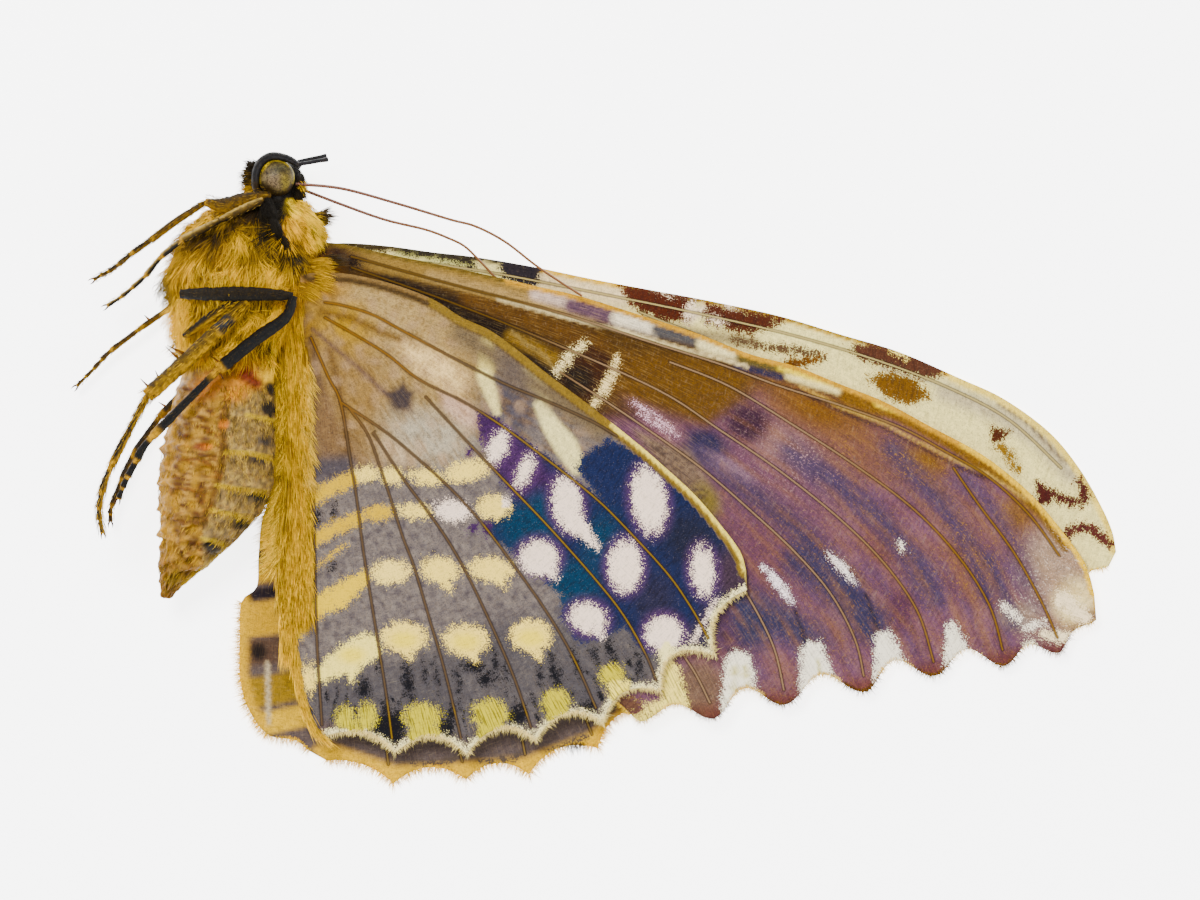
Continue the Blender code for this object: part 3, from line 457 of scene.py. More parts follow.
def new_object(name, points, faces, material, attributes):
    """A piece that rides on the root, from arrays of places, faces and values of its points."""
    faces = np.asarray(faces, np.int32)
    mesh = bpy.data.meshes.new(name)
    mesh.vertices.add(len(points))
    mesh.vertices.foreach_set("co", np.asarray(points, np.float32).ravel())
    mesh.loops.add(faces.size)
    mesh.loops.foreach_set("vertex_index", faces.ravel())
    mesh.polygons.add(len(faces))
    mesh.polygons.foreach_set("loop_start", np.arange(0, faces.size, faces.shape[1], dtype=np.int32))
    mesh.polygons.foreach_set("use_smooth", np.full(len(faces), True))
    mesh.update(calc_edges=True)
    for key, values in attributes.items():
        values = np.asarray(values, np.float32)
        if values.ndim == 1:
            mesh.attributes.new(key, "FLOAT", "POINT").data.foreach_set("value", values)
        elif values.shape[1] == 2:
            spread = np.hstack((values, np.zeros((len(values), 1), np.float32)))
            mesh.attributes.new(key, "FLOAT_VECTOR", "POINT").data.foreach_set("vector", spread.ravel())
        else:
            full = np.hstack((values, np.ones((len(values), 1), np.float32)))
            mesh.attributes.new(key, "FLOAT_COLOR", "POINT").data.foreach_set("color", full.ravel())
    mesh.validate()
    made = bpy.data.objects.new(name, mesh)
    bpy.context.scene.collection.objects.link(made)
    mesh.materials.append(material)
    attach(made, root)
    return made


# The numbers of a colour mix's two colours among its inputs, and of the mixed one among its outputs.
MIX_FIRST, MIX_SECOND, MIXED = 6, 7, 2


class Surface:
    """A material's nodes, built by short calls that return sockets."""

    def __init__(self, name):
        self.material = bpy.data.materials.new(name)
        self.material.use_nodes = True
        self.nodes = self.material.node_tree.nodes
        self.links = self.material.node_tree.links
        self.shader = self.nodes["Principled BSDF"]

    def set(self, socket, value):
        if isinstance(value, bpy.types.NodeSocket):
            self.links.new(value, socket)
        elif socket.type == "RGBA":
            socket.default_value = (*tone(*value), 1.0)
        else:
            socket.default_value = value

    def finish(self, **values):
        for name, value in values.items():
            self.set(self.shader.inputs[name.replace("_", " ")], value)
        return self.material

    def value(self, name, output="Fac"):
        node = self.nodes.new("ShaderNodeAttribute")
        node.attribute_name = name
        return node.outputs[output]

    def colour(self, name):
        return self.value(name, "Color")

    def object_place(self):
        return self.nodes.new("ShaderNodeTexCoord").outputs["Object"]

    def noise(self, vector, scale, detail=2.0, roughness=0.5, stretch=None):
        if stretch:
            mapping = self.nodes.new("ShaderNodeMapping")
            mapping.inputs["Scale"].default_value = stretch
            self.links.new(vector, mapping.inputs["Vector"])
            vector = mapping.outputs["Vector"]
        node = self.nodes.new("ShaderNodeTexNoise")
        self.links.new(vector, node.inputs["Vector"])
        node.inputs["Scale"].default_value = scale
        node.inputs["Detail"].default_value = detail
        node.inputs["Roughness"].default_value = roughness
        return node.outputs["Fac"]

    def math(self, operation, first, second=0.0):
        node = self.nodes.new("ShaderNodeMath")
        node.operation = operation
        self.set(node.inputs[0], first)
        self.set(node.inputs[1], second)
        return node.outputs["Value"]

    def swing(self, value, size):
        """A value about 0.5 as one about 0, from minus to plus half the size."""
        return self.math("MULTIPLY", self.math("SUBTRACT", value, 0.5), size)

    def step(self, value, low, high, start=0.0, end=1.0):
        node = self.nodes.new("ShaderNodeMapRange")
        node.interpolation_type = "SMOOTHSTEP"
        self.set(node.inputs["Value"], value)
        for name, number in (("From Min", low), ("From Max", high), ("To Min", start), ("To Max", end)):
            node.inputs[name].default_value = number
        return node.outputs["Result"]

    def mix(self, share, first, second, blend="MIX"):
        node = self.nodes.new("ShaderNodeMix")
        node.data_type = "RGBA"
        node.blend_type = blend
        self.set(node.inputs["Factor"], share)
        self.set(node.inputs[MIX_FIRST], first)
        self.set(node.inputs[MIX_SECOND], second)
        return node.outputs[MIXED]

    def bump(self, height, strength, distance):
        node = self.nodes.new("ShaderNodeBump")
        node.inputs["Strength"].default_value = strength
        node.inputs["Distance"].default_value = distance
        self.links.new(height, node.inputs["Height"])
        return node.outputs["Normal"]


def wing_material():
    """Scales of a wing: a soft ground, crisp light and dark marks with scaly edges, and veins."""
    s = Surface("wing_under")
    here = s.object_place()
    fan = s.value("fan", "Vector")
    grain = s.noise(here, 5200.0, 2.0, 0.7)
    coarse = s.noise(here, 1500.0, 3.0, 0.6)
    across = s.noise(fan, 1.0, 2.0, 0.6, stretch=(0.10, 0.75, 1.0))
    ripple = s.noise(fan, 1.0, 2.0, 0.55, stretch=(0.42, 0.11, 1.0))
    ragged = s.math("ADD", s.swing(grain, 28.0), s.swing(across, 9.0))
    combed = s.math("ADD", ragged, s.swing(ripple, 14.0))
    ground = s.mix(s.step(grain, 0.35, 0.75, 0.0, 0.42), s.colour("ground"), (240, 225, 200), "SOFT_LIGHT")
    ground = s.mix(s.step(grain, 0.30, 0.50, 0.40, 0.0), ground, (20, 15, 20))
    ground = s.mix(s.step(coarse, 0.35, 0.7, 0.22, 0.0), ground, (30, 22, 22))
    fibre = s.noise(fan, 1.0, 2.0, 0.6, stretch=(0.05, 0.75, 1.0))
    hairy = s.value("hairy")
    ground = s.mix(s.math("MULTIPLY", hairy, s.step(fibre, 0.30, 0.55, 0.5, 0.0)), ground, (28, 18, 12))
    ground = s.mix(s.math("MULTIPLY", hairy, s.step(fibre, 0.52, 0.74, 0.0, 0.22)), ground, (216, 180, 130))
    ground = s.mix(s.step(ripple, 0.32, 0.5, 0.20, 0.0), ground, (40, 28, 22))
    ground = s.mix(s.step(ripple, 0.56, 0.76, 0.0, 0.05), ground, (226, 206, 176))
    dots = s.step(s.noise(here, 3400.0, 3.0, 0.65), 0.56, 0.70, 0.0, 0.7)
    dashes = s.step(s.noise(fan, 1.0, 2.0, 0.6, stretch=(0.14, 0.95, 1.0)), 0.60, 0.74, 0.0, 0.8)
    speckle = s.math("MULTIPLY", s.value("speckle"), s.math("MAXIMUM", dots, dashes))
    ground = s.mix(speckle, ground, s.colour("speckle_tint"))
    blot = s.step(s.math("ADD", s.value("blot"), combed), -1.2, 1.6)
    shade = s.mix(s.step(grain, 0.3, 0.6, 0.45, 0.0), s.colour("blot_tint"), (8, 8, 12))
    shade = s.mix(s.step(ripple, 0.34, 0.56, 0.40, 0.0), shade, (10, 8, 10))
    shade = s.mix(s.step(grain, 0.58, 0.78, 0.0, 0.22), shade, (190, 170, 150))
    painted = s.mix(blot, ground, shade)
    mark = s.step(s.math("ADD", s.value("mark"), ragged), -1.6, 2.2)
    light = s.mix(s.step(grain, 0.28, 0.5, 0.30, 0.0), s.colour("mark_tint"), (120, 95, 60))
    light = s.mix(s.step(ripple, 0.32, 0.5, 0.22, 0.0), light, (150, 120, 70))
    light = s.mix(s.math("MULTIPLY", hairy, s.step(fibre, 0.36, 0.52, 0.75, 0.0)), light, (96, 88, 48))
    painted = s.mix(mark, painted, light)
    vein = s.value("vein")
    painted = s.mix(s.step(vein, 1.1, 2.6, 0.75, 0.0), painted, (26, 18, 12))
    ridge = s.step(s.math("ADD", vein, s.math("MULTIPLY", grain, 0.8)), 0.8, 1.6, 0.9, 0.0)
    painted = s.mix(ridge, painted, s.colour("vein_tint"))
    relief = s.math("ADD", s.math("MULTIPLY", grain, 0.6), s.math("MULTIPLY", ripple, 0.6))
    return s.finish(
        Base_Color=painted, Roughness=s.step(grain, 0.3, 0.7, 0.6, 0.85), Specular_IOR_Level=0.06,
        Normal=s.bump(relief, 0.6, 0.00012),
    )


def wing_mesh(outline, veins, spacing, fine=None):
    """A wing cut into triangles in plan: its points and faces, the grid thinned where it isn't fine."""
    points = [Vector(point) for point in outline]
    edges = []

    def add(line, joined):
        before = joined[0]
        for point in line[1:-1]:
            points.append(Vector(point))
            edges.append((before, len(points) - 1))
            before = len(points) - 1
        edges.append((before, joined[1]))

    for vein in veins:
        points.extend((Vector(vein[0]), Vector(vein[-1])))
        ends = (len(points) - 2, len(points) - 1)
        add(vein, ends)
        along = np.gradient(vein, axis=0)
        side = np.stack((along[:, 1], -along[:, 0]), axis=1) / np.hypot(*along.T)[:, None]
        number = np.arange(len(vein))
        width = VEIN_HALF_WIDTH * np.minimum(1.0, np.minimum(number, number[::-1]) / 3)
        add(vein + side * width[:, None], ends)
        add(vein - side * width[:, None], ends)
    low, high = outline.min(axis=0), outline.max(axis=0)
    rows = np.arange(low[1] + spacing / 2, high[1], spacing * 0.87)
    columns = np.arange(low[0], high[0], spacing)
    grid = np.array([(x + spacing / 2 * (row % 2), y) for row, y in enumerate(rows) for x in columns])
    grid = grid[inside(grid, outline)]
    keep = away(grid, np.vstack((outline, outline[:1])))[0] > spacing * 0.5
    for vein in veins:
        keep &= away(grid, vein)[0] > VEIN_HALF_WIDTH + spacing * 0.45
    if fine is not None:
        keep &= (np.arange(len(grid)) % 3 == 0) | fine(grid)
    points.extend(Vector(point) for point in grid[keep])
    found, _, faces, _, _, _ = delaunay_2d_cdt(points, edges, [list(range(len(outline)))], 1, 1e-4)
    return np.array([tuple(point) for point in found]), np.array([tuple(face) for face in faces])


def rim_walls(faces, count):
    """The faces between the rim of a top sheet and that of the sheet below, whose points come after."""
    directed = np.concatenate((faces[:, [0, 1]], faces[:, [1, 2]], faces[:, [2, 0]]))
    code = np.sort(directed, axis=1) @ np.array((count, 1))
    _, index, times = np.unique(code, return_inverse=True, return_counts=True)
    rim = directed[times[index.ravel()] == 1]
    return np.concatenate((
        np.stack((rim[:, 1], rim[:, 0], rim[:, 0] + count), axis=1),
        np.stack((rim[:, 1], rim[:, 0] + count, rim[:, 1] + count), axis=1),
    ))


def wing_piece(name, node, outline, veins, spacing, material, painter, fine=None):
    """One wing as a thin closed sheet with raised veins, painted by its own function."""
    veins = [curved(vein, spacing * 1.6) for vein in veins]
    flat, faces = wing_mesh(outline, veins, spacing, fine)
    used = np.unique(faces)
    lookup = np.zeros(len(flat), int)
    lookup[used] = np.arange(len(used))
    flat, faces = flat[used], lookup[faces]
    vein = np.full(len(flat), np.inf)
    for line in veins:
        vein = np.minimum(vein, away(flat, line)[0])
    across, down = flat[:, 0] - WING_CENTRE[0], flat[:, 1] - WING_CENTRE[1]
    turn, reach = np.arctan2(down, across), np.hypot(across, down)
    wave = np.sin(turn * WAVE_COUNTS[0] + 2 * np.sin(reach / 60)) * WAVE_SHARES[0]
    wave = wave + np.sin(turn * WAVE_COUNTS[1] + reach / 45) * WAVE_SHARES[1]
    level = wing_level(node, flat[:, 0], flat[:, 1]) + WAVE_HEIGHT * wave * smooth(vein, 1.0, 9.0)
    ridge = VEIN_HEIGHT * (1 - smooth(vein, 0.0, VEIN_HALF_WIDTH))
    top = place(flat, level + MEMBRANE_TOP + ridge)
    base = place(flat, level + MEMBRANE_BASE)
    count = len(flat)
    first = flat[faces[0]]
    if np.cross(first[1] - first[0], first[2] - first[0]) > 0:
        faces = faces[:, ::-1]
    values = painter(flat)
    values["vein"] = vein
    values["fan"] = fanned(flat, 1.0, "fore" in node)
    made = new_object(
        name, np.concatenate((top, base)),
        np.concatenate((faces, faces[:, ::-1] + count, rim_walls(faces, count))), material,
        {key: np.concatenate((value, value)) for key, value in values.items()},
    )
    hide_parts(node)


# The colour of a wing's flecks where its painter gives none.
SPECKLE_TINT = (230, 215, 190)


def layers(ground, marks, blots, veins, hairy, speckle=0.0, speckle_tint=None):
    """The values of a wing's points that its material reads."""
    count = len(ground.colours)
    speckle_tint = speckle_tint or Paint(ground.points, SPECKLE_TINT)
    return {
        "ground": ground.colours, "mark": marks.depth, "mark_tint": marks.tint.colours,
        "blot": blots.depth, "blot_tint": blots.tint.colours, "vein_tint": veins.colours,
        "hairy": hairy, "speckle": np.broadcast_to(speckle, count), "speckle_tint": speckle_tint.colours,
    }


# Colours that several marks share.
WHITE, CREAM, YELLOW, GOLD = (255, 232, 214), (246, 218, 140), (240, 206, 70), (222, 178, 30)
GREEN_YELLOW = (208, 194, 104)
GREY, KHAKI, BLACK = (140, 131, 128), (192, 164, 122), (18, 18, 22)
NAVY, TEAL, PURPLE = (28, 42, 94), (10, 66, 104), (78, 40, 96)

# In the tables of shapes below, each row is read by shape(), and goes on with its colour, and for
# soft shapes with the softness of its edge and its strength, or for crisp ones with their weight.

# Light spots of the upper hindwing.
HIND_SPOTS = [
    (498, 447, 18, 32, 25, WHITE), (525, 471, 13, 30, 22, WHITE), (567, 504, 28, 52, -8, WHITE),
    (649, 500, 33, 64, -8, WHITE), (703, 571, 22, 46, -5, WHITE), (625, 566, 32, 50, 0, WHITE),
    (539, 558, 38, 34, 10, WHITE), (588, 618, 36, 29, 20, WHITE), (664, 634, 36, 34, 0, WHITE),
    (467, 471, 44, 20, -14, CREAM), (494, 507, 32, 24, 0, CREAM), (503, 505, 14, 16, 0, WHITE),
    (453, 511, 34, 20, 8, WHITE), (427, 477, 32, 15, 5, CREAM), (392, 476, 22, 16, 0, CREAM),
    (366, 474, 26, 15, -8, CREAM), (415, 511, 32, 14, 4, CREAM), (379, 513, 30, 15, -6, GOLD),
    (391, 572, 38, 23, -4, (236, 210, 140)), (440, 570, 37, 25, 6, CREAM), (491, 569, 42, 23, 4, CREAM),
    (309, 679, 13, 27, 0, CREAM), (404, 637, 44, 30, 2, CREAM), (466, 640, 44, 30, 2, CREAM),
    (531, 636, 40, 32, 2, CREAM), (345, 718, 19, 24, 0, GREEN_YELLOW),
    (367, 717, 20, 27, 0, GREEN_YELLOW), (422, 717, 38, 27, 0, GREEN_YELLOW),
    (490, 714, 36, 28, 0, GREEN_YELLOW), (556, 702, 29, 26, -10, GREEN_YELLOW),
    (612, 675, 24, 22, -15, GREEN_YELLOW),
]

# Light strokes of the upper hindwing.
HIND_STROKES = [
    ([(312, 498), (330, 489), (352, 479)], (15, 14, 15), GOLD),
    ([(314, 540), (335, 528), (357, 519)], (14, 13, 13), GOLD),
    ([(318, 606), (338, 597), (352, 586), (364, 577)], (20, 23, 20, 11), (228, 192, 100)),
    ([(297, 630), (303, 618), (315, 611)], (18, 20, 18), (224, 184, 88)),
    ([(322, 674), (338, 664), (352, 656), (366, 648)], (15, 24, 28, 28), (232, 214, 140)),
    ([(353, 726), (356, 742)], (16, 34), GREEN_YELLOW),
    ([(422, 724), (426, 744)], (24, 40), GREEN_YELLOW),
    ([(491, 722), (493, 742)], (24, 38), GREEN_YELLOW),
    ([(557, 708), (562, 728)], (20, 36), GREEN_YELLOW),
    ([(614, 682), (624, 698)], (16, 32), (232, 214, 130)),
    ([(666, 640), (668, 668)], (20, 14), (240, 226, 170)), ([(545, 566), (556, 577)], (16, 5), WHITE),
    ([(592, 622), (603, 637)], (16, 4), WHITE),
    ([(572, 520), (584, 532), (597, 547)], (22, 14, 4), WHITE),
    ([(440, 572), (451, 590)], (20, 3), CREAM), ([(494, 572), (506, 586)], (20, 3), CREAM),
    ([(404, 640), (411, 659)], (26, 3), CREAM), ([(466, 642), (476, 662)], (26, 3), CREAM),
    ([(531, 640), (541, 659)], (24, 3), CREAM), ([(352, 660), (352, 681)], (26, 3), (232, 214, 140)),
    ([(694, 640), (716, 600)], (4, 4), WHITE), ([(316, 568), (330, 557), (346, 545)], 5, GOLD, -1.5),
]

# The soft ground of the upper hindwing near its root, with painted shade in the folds along its inner edge.
HIND_GROUND = [
    ([
        (280, 260), (352, 262), (430, 290), (470, 318), (492, 352), (482, 380), (474, 425), (452, 452),
        (400, 462), (352, 455), (318, 462), (300, 480), (280, 450),
    ], 0, KHAKI, 18),
    (350, 385, 70, 130, -15, (182, 148, 106), 20), (370, 312, 120, 46, 20, (204, 176, 132), 18),
    (344, 322, 60, 44, 35, (202, 158, 84), 18), (318, 286, 52, 34, 0, (200, 140, 30), 12),
    (304, 330, 34, 50, 0, (190, 142, 40), 12),
    ([(396, 342), (440, 352), (468, 376), (462, 392), (446, 390), (418, 372)], 0, (236, 202, 154), 9),
    ([(440, 392), (466, 402), (480, 416), (474, 428), (458, 424), (444, 408)], 0, (222, 186, 166), 6),
    (487, 423, 22, 14, 20, (134, 92, 128), 5),
    ([(498, 379), (530, 388), (534, 428), (512, 430), (498, 404)], 0, (96, 92, 104), 6),
    (430, 436, 84, 48, 20, (196, 186, 166), 16), (396, 452, 40, 18, 20, (206, 184, 156), 7),
    (340, 448, 50, 40, 0, (150, 122, 96), 16),
    ([(294, 346), (297, 380), (303, 404)], 10, (214, 206, 186), 5),
    # Dark lines in the folds by the inner edge: painted shade.
    ([(301, 344), (306, 372), (314, 402), (322, 432), (331, 474)], 7, (66, 54, 54), 5),
    ([(312, 340), (318, 372), (324, 396), (334, 430)], 6, (96, 76, 70), 5),
    ([(330, 350), (338, 380), (344, 410), (348, 450)], 5, (112, 84, 60), 5),
    ([(322, 312), (350, 318), (400, 340)], 6, (120, 86, 44), 5),
]

# What lies over that ground's clouds: a smudge with its rays, light streaks, and dusk further out.
HIND_DETAIL = [
    (325, 424, 26, 60, -8, (150, 120, 94), 10),
    ([(314, 330), (332, 345), (352, 362), (374, 382), (388, 396)], 3, (104, 84, 88), 4),
    (401, 399, 24, 26, 30, (70, 62, 66), 6), ([(401, 399), (384, 392)], (7, 1), (74, 66, 70), 3),
    ([(401, 399), (404, 382)], (7, 1), (74, 66, 70), 3),
    ([(401, 399), (415, 392)], (7, 1), (74, 66, 70), 3),
    ([(401, 399), (414, 414)], (7, 1), (74, 66, 70), 3),
    ([(486, 343), (487, 368)], (14, 16), (228, 210, 142), 3.2, 0.92),
    ([(484, 376), (491, 394), (497, 412)], (14, 12, 6), (232, 216, 158), 3.2, 0.92),
    ([(525, 374), (538, 385), (549, 398)], (11, 13, 7), (232, 216, 158), 3.2, 0.92),
    ([(540, 405), (552, 427), (566, 446), (577, 466)], (11, 18, 23, 16), (240, 226, 170), 3.2, 0.92),
    ([(462, 334), (520, 374), (600, 428)], 22, (136, 120, 98), 10),
    (512, 372, 24, 40, -30, (118, 106, 98), 10), ([(310, 470), (345, 466)], 22, (94, 88, 96), 8),
    (500, 640, 60, 50, 0, (98, 92, 98), 22, 0.7), (430, 690, 60, 50, 0, (98, 92, 98), 22, 0.7),
    (350, 700, 60, 50, 0, (98, 92, 98), 22, 0.7), (580, 690, 60, 50, 0, (98, 92, 98), 22, 0.7),
]

# Blues and violets within the deep blue area.
HIND_BLUE_TINTS = [
    ([(484, 430), (520, 470), (545, 500)], 44, PURPLE, 12),
    (528, 528, 60, 50, 20, TEAL, 12), (574, 584, 52, 50, 20, TEAL, 12),
    (540, 505, 26, 30, 20, TEAL, 12), (600, 540, 30, 50, 20, TEAL, 12),
    (690, 540, 60, 50, 40, (34, 38, 66), 16), (655, 600, 40, 50, 0, (46, 44, 78), 14),
    (735, 575, 40, 60, 0, (76, 58, 72), 10), (704, 630, 22, 50, 20, (72, 56, 78), 8),
    (680, 640, 50, 26, 0, (62, 58, 82), 8),
]

# The corners of the upper hindwing's deep blue and violet areas.
HIND_BLUE = [
    [
        (478, 414), (496, 420), (530, 446), (592, 494), (640, 545), (600, 590), (549, 530), (505, 484),
        (484, 446),
    ],
    [
        (609, 441), (640, 452), (670, 476), (700, 504), (722, 532), (741, 560), (747, 592), (716, 657),
        (690, 640), (640, 566), (592, 486), (577, 467), (585, 456),
    ],
    [
        (512, 488), (600, 500), (690, 570), (716, 652), (664, 655), (644, 650), (624, 622), (606, 637),
        (580, 641), (562, 616), (564, 596), (546, 580), (528, 574), (514, 552), (498, 540), (489, 532),
        (492, 520), (506, 512), (512, 500),
    ],
]

# Dark smudges of the upper hindwing: centre, width, height, turn and weight.
HIND_SMUDGES = [
    (389, 729, 32, 34, 0, 1), (446, 730, 15, 28, 0, 1), (517, 716, 18, 26, 20, 0),
    (586, 711, 20, 22, 20, -1), (474, 666, 22, 12, 10, 0), (486, 679, 14, 12, 0, 1),
    (408, 683, 11, 38, -8, 0), (364, 689, 16, 26, 0, -2), (556, 674, 7, 28, -15, 1),
    (541, 675, 8, 22, -10, -1), (611, 651, 6, 28, -20, 1), (470, 453, 7, 12, 20, 0),
    (637, 676, 4, 16, 0, 0), (595, 655, 8, 20, -20, -1), (318, 516, 7, 22, 0, -1),
    (334, 512, 6, 20, 0, -1), (490, 528, 12, 14, 0, 1), (474, 528, 12, 8, -40, 0),
    (331, 566, 10, 14, 0, -2), (384, 714, 8, 22, 10, 0), (398, 716, 9, 20, 0, 0),
    (452, 714, 9, 18, 10, 0), (526, 736, 14, 12, 0, 1), (436, 676, 5, 22, -10, -1),
    (424, 672, 5, 16, -10, -1), (458, 680, 5, 24, -5, 0), (496, 664, 5, 22, -10, 0),
    (506, 676, 5, 20, -15, -1), (640, 664, 5, 18, -10, 0), (576, 664, 5, 20, -15, 0),
    (378, 664, 6, 20, 0, -1),
]
# How many of the light spots lie in the deep blue area and have a violet halo.
HALO_SPOTS = 9
# The plan row where the pale inner field of the upper hindwing ends.
FIELD_END = 470


def paint_hind_left(p):
    """The under side of the upper hindwing, as it shows."""
    x, y = p[:, 0], p[:, 1]
    near, far = y <= FIELD_END, y >= FIELD_END
    ground = Paint(p, GREY).lay(HIND_GROUND)
    ground.over(only(near, cloud(fanned(p, 0.3), 12, 91) * 4 - 1.5), (130, 98, 62), 3, 0.5)
    ground.over(only(near, cloud(p, 24, 92) * 5 - 3), (200, 168, 140), 4, 0.45)
    ground.over(only(far, cloud(p, 16, 93) * 4 - 2), (92, 86, 94), 3, 0.7)
    ground.over(only(far, cloud(fanned(p, 0.4), 9, 94) * 4 - 2), (168, 158, 150), 2.5, 0.5)
    ground.lay(HIND_DETAIL)
    ground.over(y - 640 + (x - 450) * 0.25, (92, 90, 96), 26, 0.7)
    ground.over(stroke(p, HIND_TEETH, 30), (112, 92, 92), 10, 0.7)
    costa = away(p, curved(HIND_COSTA, 6))[0]
    ground.over(9.5 - costa, (72, 56, 38), 2)
    ground.over(only(x > 430, 8.0 - costa), (158, 130, 78), 1.5)
    ground.over(only(x > 610, 3.8 - costa), (250, 226, 140), 1.0)
    ground.over(only(x <= 430, 3.6 - costa), (158, 128, 92), 1.5)

    marks = Marks(p, CREAM).lay(HIND_SPOTS + HIND_STROKES)
    rim = away(p, margin(HIND_TEETH, HIND_SCALLOPS, True, 4.0))[0]
    marks.add(4.4 - rim, (255, 242, 190))
    for centre in ((404, 640), (466, 642), (531, 638), (352, 655)):
        marks.tint.over(spot(p, *centre, 26, 16), (232, 208, 96), 5, 0.8)
    blots = Marks(p, NAVY)
    for corners in HIND_BLUE:
        blots.add(patch(p, corners), NAVY, 2.0)
    blots.tint.lay(HIND_BLUE_TINTS)
    for across, down, wide, high, turn, colour in HIND_SPOTS[:HALO_SPOTS]:
        blots.tint.over(spot(p, across, down, wide + 14, high + 14, turn), (112, 70, 124), 6, 0.75)
    for across, down, wide, high, turn, weight in HIND_SMUDGES:
        colour = BLACK if down > 545 or across < 460 else PURPLE
        blots.add(spot(p, across, down, wide, high, turn), colour, weight)
    marks.depth = only(costa >= 8.5, marks.depth)
    blots.depth = only(costa >= 9.0, blots.depth)
    veins = Paint(p, (106, 86, 68))
    veins.over(spot(p, 340, 330, 190, 170, 30), (152, 104, 46), 30)
    veins.over(blots.depth, (152, 120, 66), 4)
    margin_line = away(p, HIND_TEETH)[0]
    combs = cloud(fanned(p, 0.30), 7.0, 95) * 5 - 3.5 - 12 * smooth(margin_line, 40, 84)
    between = smooth(np.min([away(p, vein)[0] for vein in HIND_VEINS], axis=0), 1.5, 5.0)
    plain = (blots.depth < -1) & (x < 640) & (costa > 30)
    blots.add(only(plain, combs - 8 * (1 - between)), BLACK)
    hairy = 0.15 + 0.6 * smooth(spot(p, 360, 330, 300, 260, 20), -20, 40)
    for across, down, wide, high, turn, colour in HIND_SPOTS:
        if colour == GREEN_YELLOW:
            tuft = spot(p, across, down + 6, wide + 16, high + 26, turn)
            hairy = np.maximum(hairy, smooth(tuft, -2, 6))
    return layers(ground, marks, blots, veins, hairy)


# Light streaks and notches of the upper forewing.
FORE_STROKES = [
    ([(763, 567), (775, 580), (785, 592), (792, 603)], (2, 8, 8, 2), (248, 236, 236)),
    ([(828, 555), (838, 563), (846, 572), (855, 582)], (2, 7, 7, 2), (248, 236, 230)),
    ([(738, 664), (740, 704)], (26, 38), (246, 238, 216)),
    ([(813, 654), (820, 696)], (24, 40), (248, 240, 222)),
    ([(885, 642), (894, 686)], (20, 40), (248, 240, 222)),
    ([(952, 628), (962, 672)], (10, 36), (246, 238, 220)),
    ([(1030, 646), (1034, 668)], (10, 30), (238, 228, 200)),
    ([(1064, 600), (1086, 618)], (18, 12), (232, 212, 178)),
    ([(1044, 634), (1092, 642)], (8, 16), (236, 218, 182)),
    ([(585, 343), (571, 354), (558, 371)], (5, 8, 8), (232, 212, 162)),
    ([(617, 357), (613, 373), (604, 390), (595, 403)], (4, 9, 9, 8), (230, 206, 156)),
    ([(632, 402), (652, 414), (670, 428)], (1, 2.4, 1), (222, 190, 200)),
    ([(640, 414), (660, 426), (676, 436)], (1, 2, 1), (222, 190, 200)),
    ([(1004, 606), (1018, 618)], (5, 7), (244, 232, 214)),
    ([(1028, 628), (1044, 622)], (7, 4), (244, 232, 214)),
    ([(900, 541), (903, 550)], (2, 3), (244, 232, 214)),
    ([(594, 694), (640, 722), (676, 706), (668, 672)], (24, 30, 24, 22), (240, 220, 142)),
]

# The dark root of the upper forewing, its large soft patches, and the dark streaks between its veins.
FORE_CLOUDS = [
    ([
        (300, 230), (560, 290), (700, 340), (900, 400), (860, 430), (760, 392), (742, 408), (716, 424),
        (690, 428), (640, 420), (600, 420), (480, 420), (300, 420),
    ], 0, (82, 58, 24), 10),
    (740, 500, 240, 130, 35, (124, 86, 106), 34), (850, 440, 190, 56, 28, (134, 94, 88), 20),
    (760, 560, 90, 60, 30, (116, 78, 98), 20), (745, 628, 60, 40, 20, (44, 56, 104), 16),
    (902, 610, 30, 40, 0, (92, 58, 84), 10), (815, 410, 90, 30, 22, (132, 90, 58), 12),
    (782, 446, 60, 34, 25, (168, 128, 128), 14), (748, 423, 44, 38, 10, (58, 36, 54), 9),
    (705, 446, 46, 34, 15, (34, 36, 84), 9), (726, 467, 44, 12, 30, (206, 166, 178), 7),
    (654, 416, 60, 12, 38, (164, 122, 130), 6), (664, 440, 40, 8, 38, (150, 106, 118), 4),
    (922, 460, 50, 24, 20, (140, 98, 56), 10), (968, 556, 40, 70, -10, (134, 92, 84), 16),
    (1018, 514, 36, 50, 20, (140, 100, 76), 14), (886, 540, 40, 60, -20, (128, 86, 88), 14),
    (1060, 560, 66, 80, 20, (188, 162, 144), 20), (1078, 606, 44, 50, 20, (255, 230, 176), 14),
    (1040, 630, 40, 30, 0, (150, 118, 120), 12), (1020, 616, 40, 26, 0, (170, 150, 140), 8),
    ([(790, 452), (835, 482), (880, 520), (915, 562), (934, 598)], 26, (72, 60, 108), 12, 0.85),
    ([(892, 450), (940, 500), (974, 552), (988, 592)], 22, (78, 62, 108), 11, 0.85),
    ([(700, 452), (750, 492), (800, 532), (846, 580), (868, 630)], 24, (66, 54, 100), 12, 0.85),
    ([(800, 560), (840, 592), (872, 622)], 36, (52, 54, 102), 13, 0.85),
    ([(700, 560), (740, 600), (786, 622), (808, 640)], 34, (44, 54, 102), 14, 0.85),
    ([(960, 470), (1004, 524), (1030, 580)], 16, (96, 74, 108), 9, 0.85),
    ([(990, 560), (1008, 600), (1014, 624)], 16, (76, 62, 106), 9, 0.85),
    ([(640, 520), (680, 556), (716, 600), (730, 640)], 20, (92, 62, 92), 12, 0.85),
]
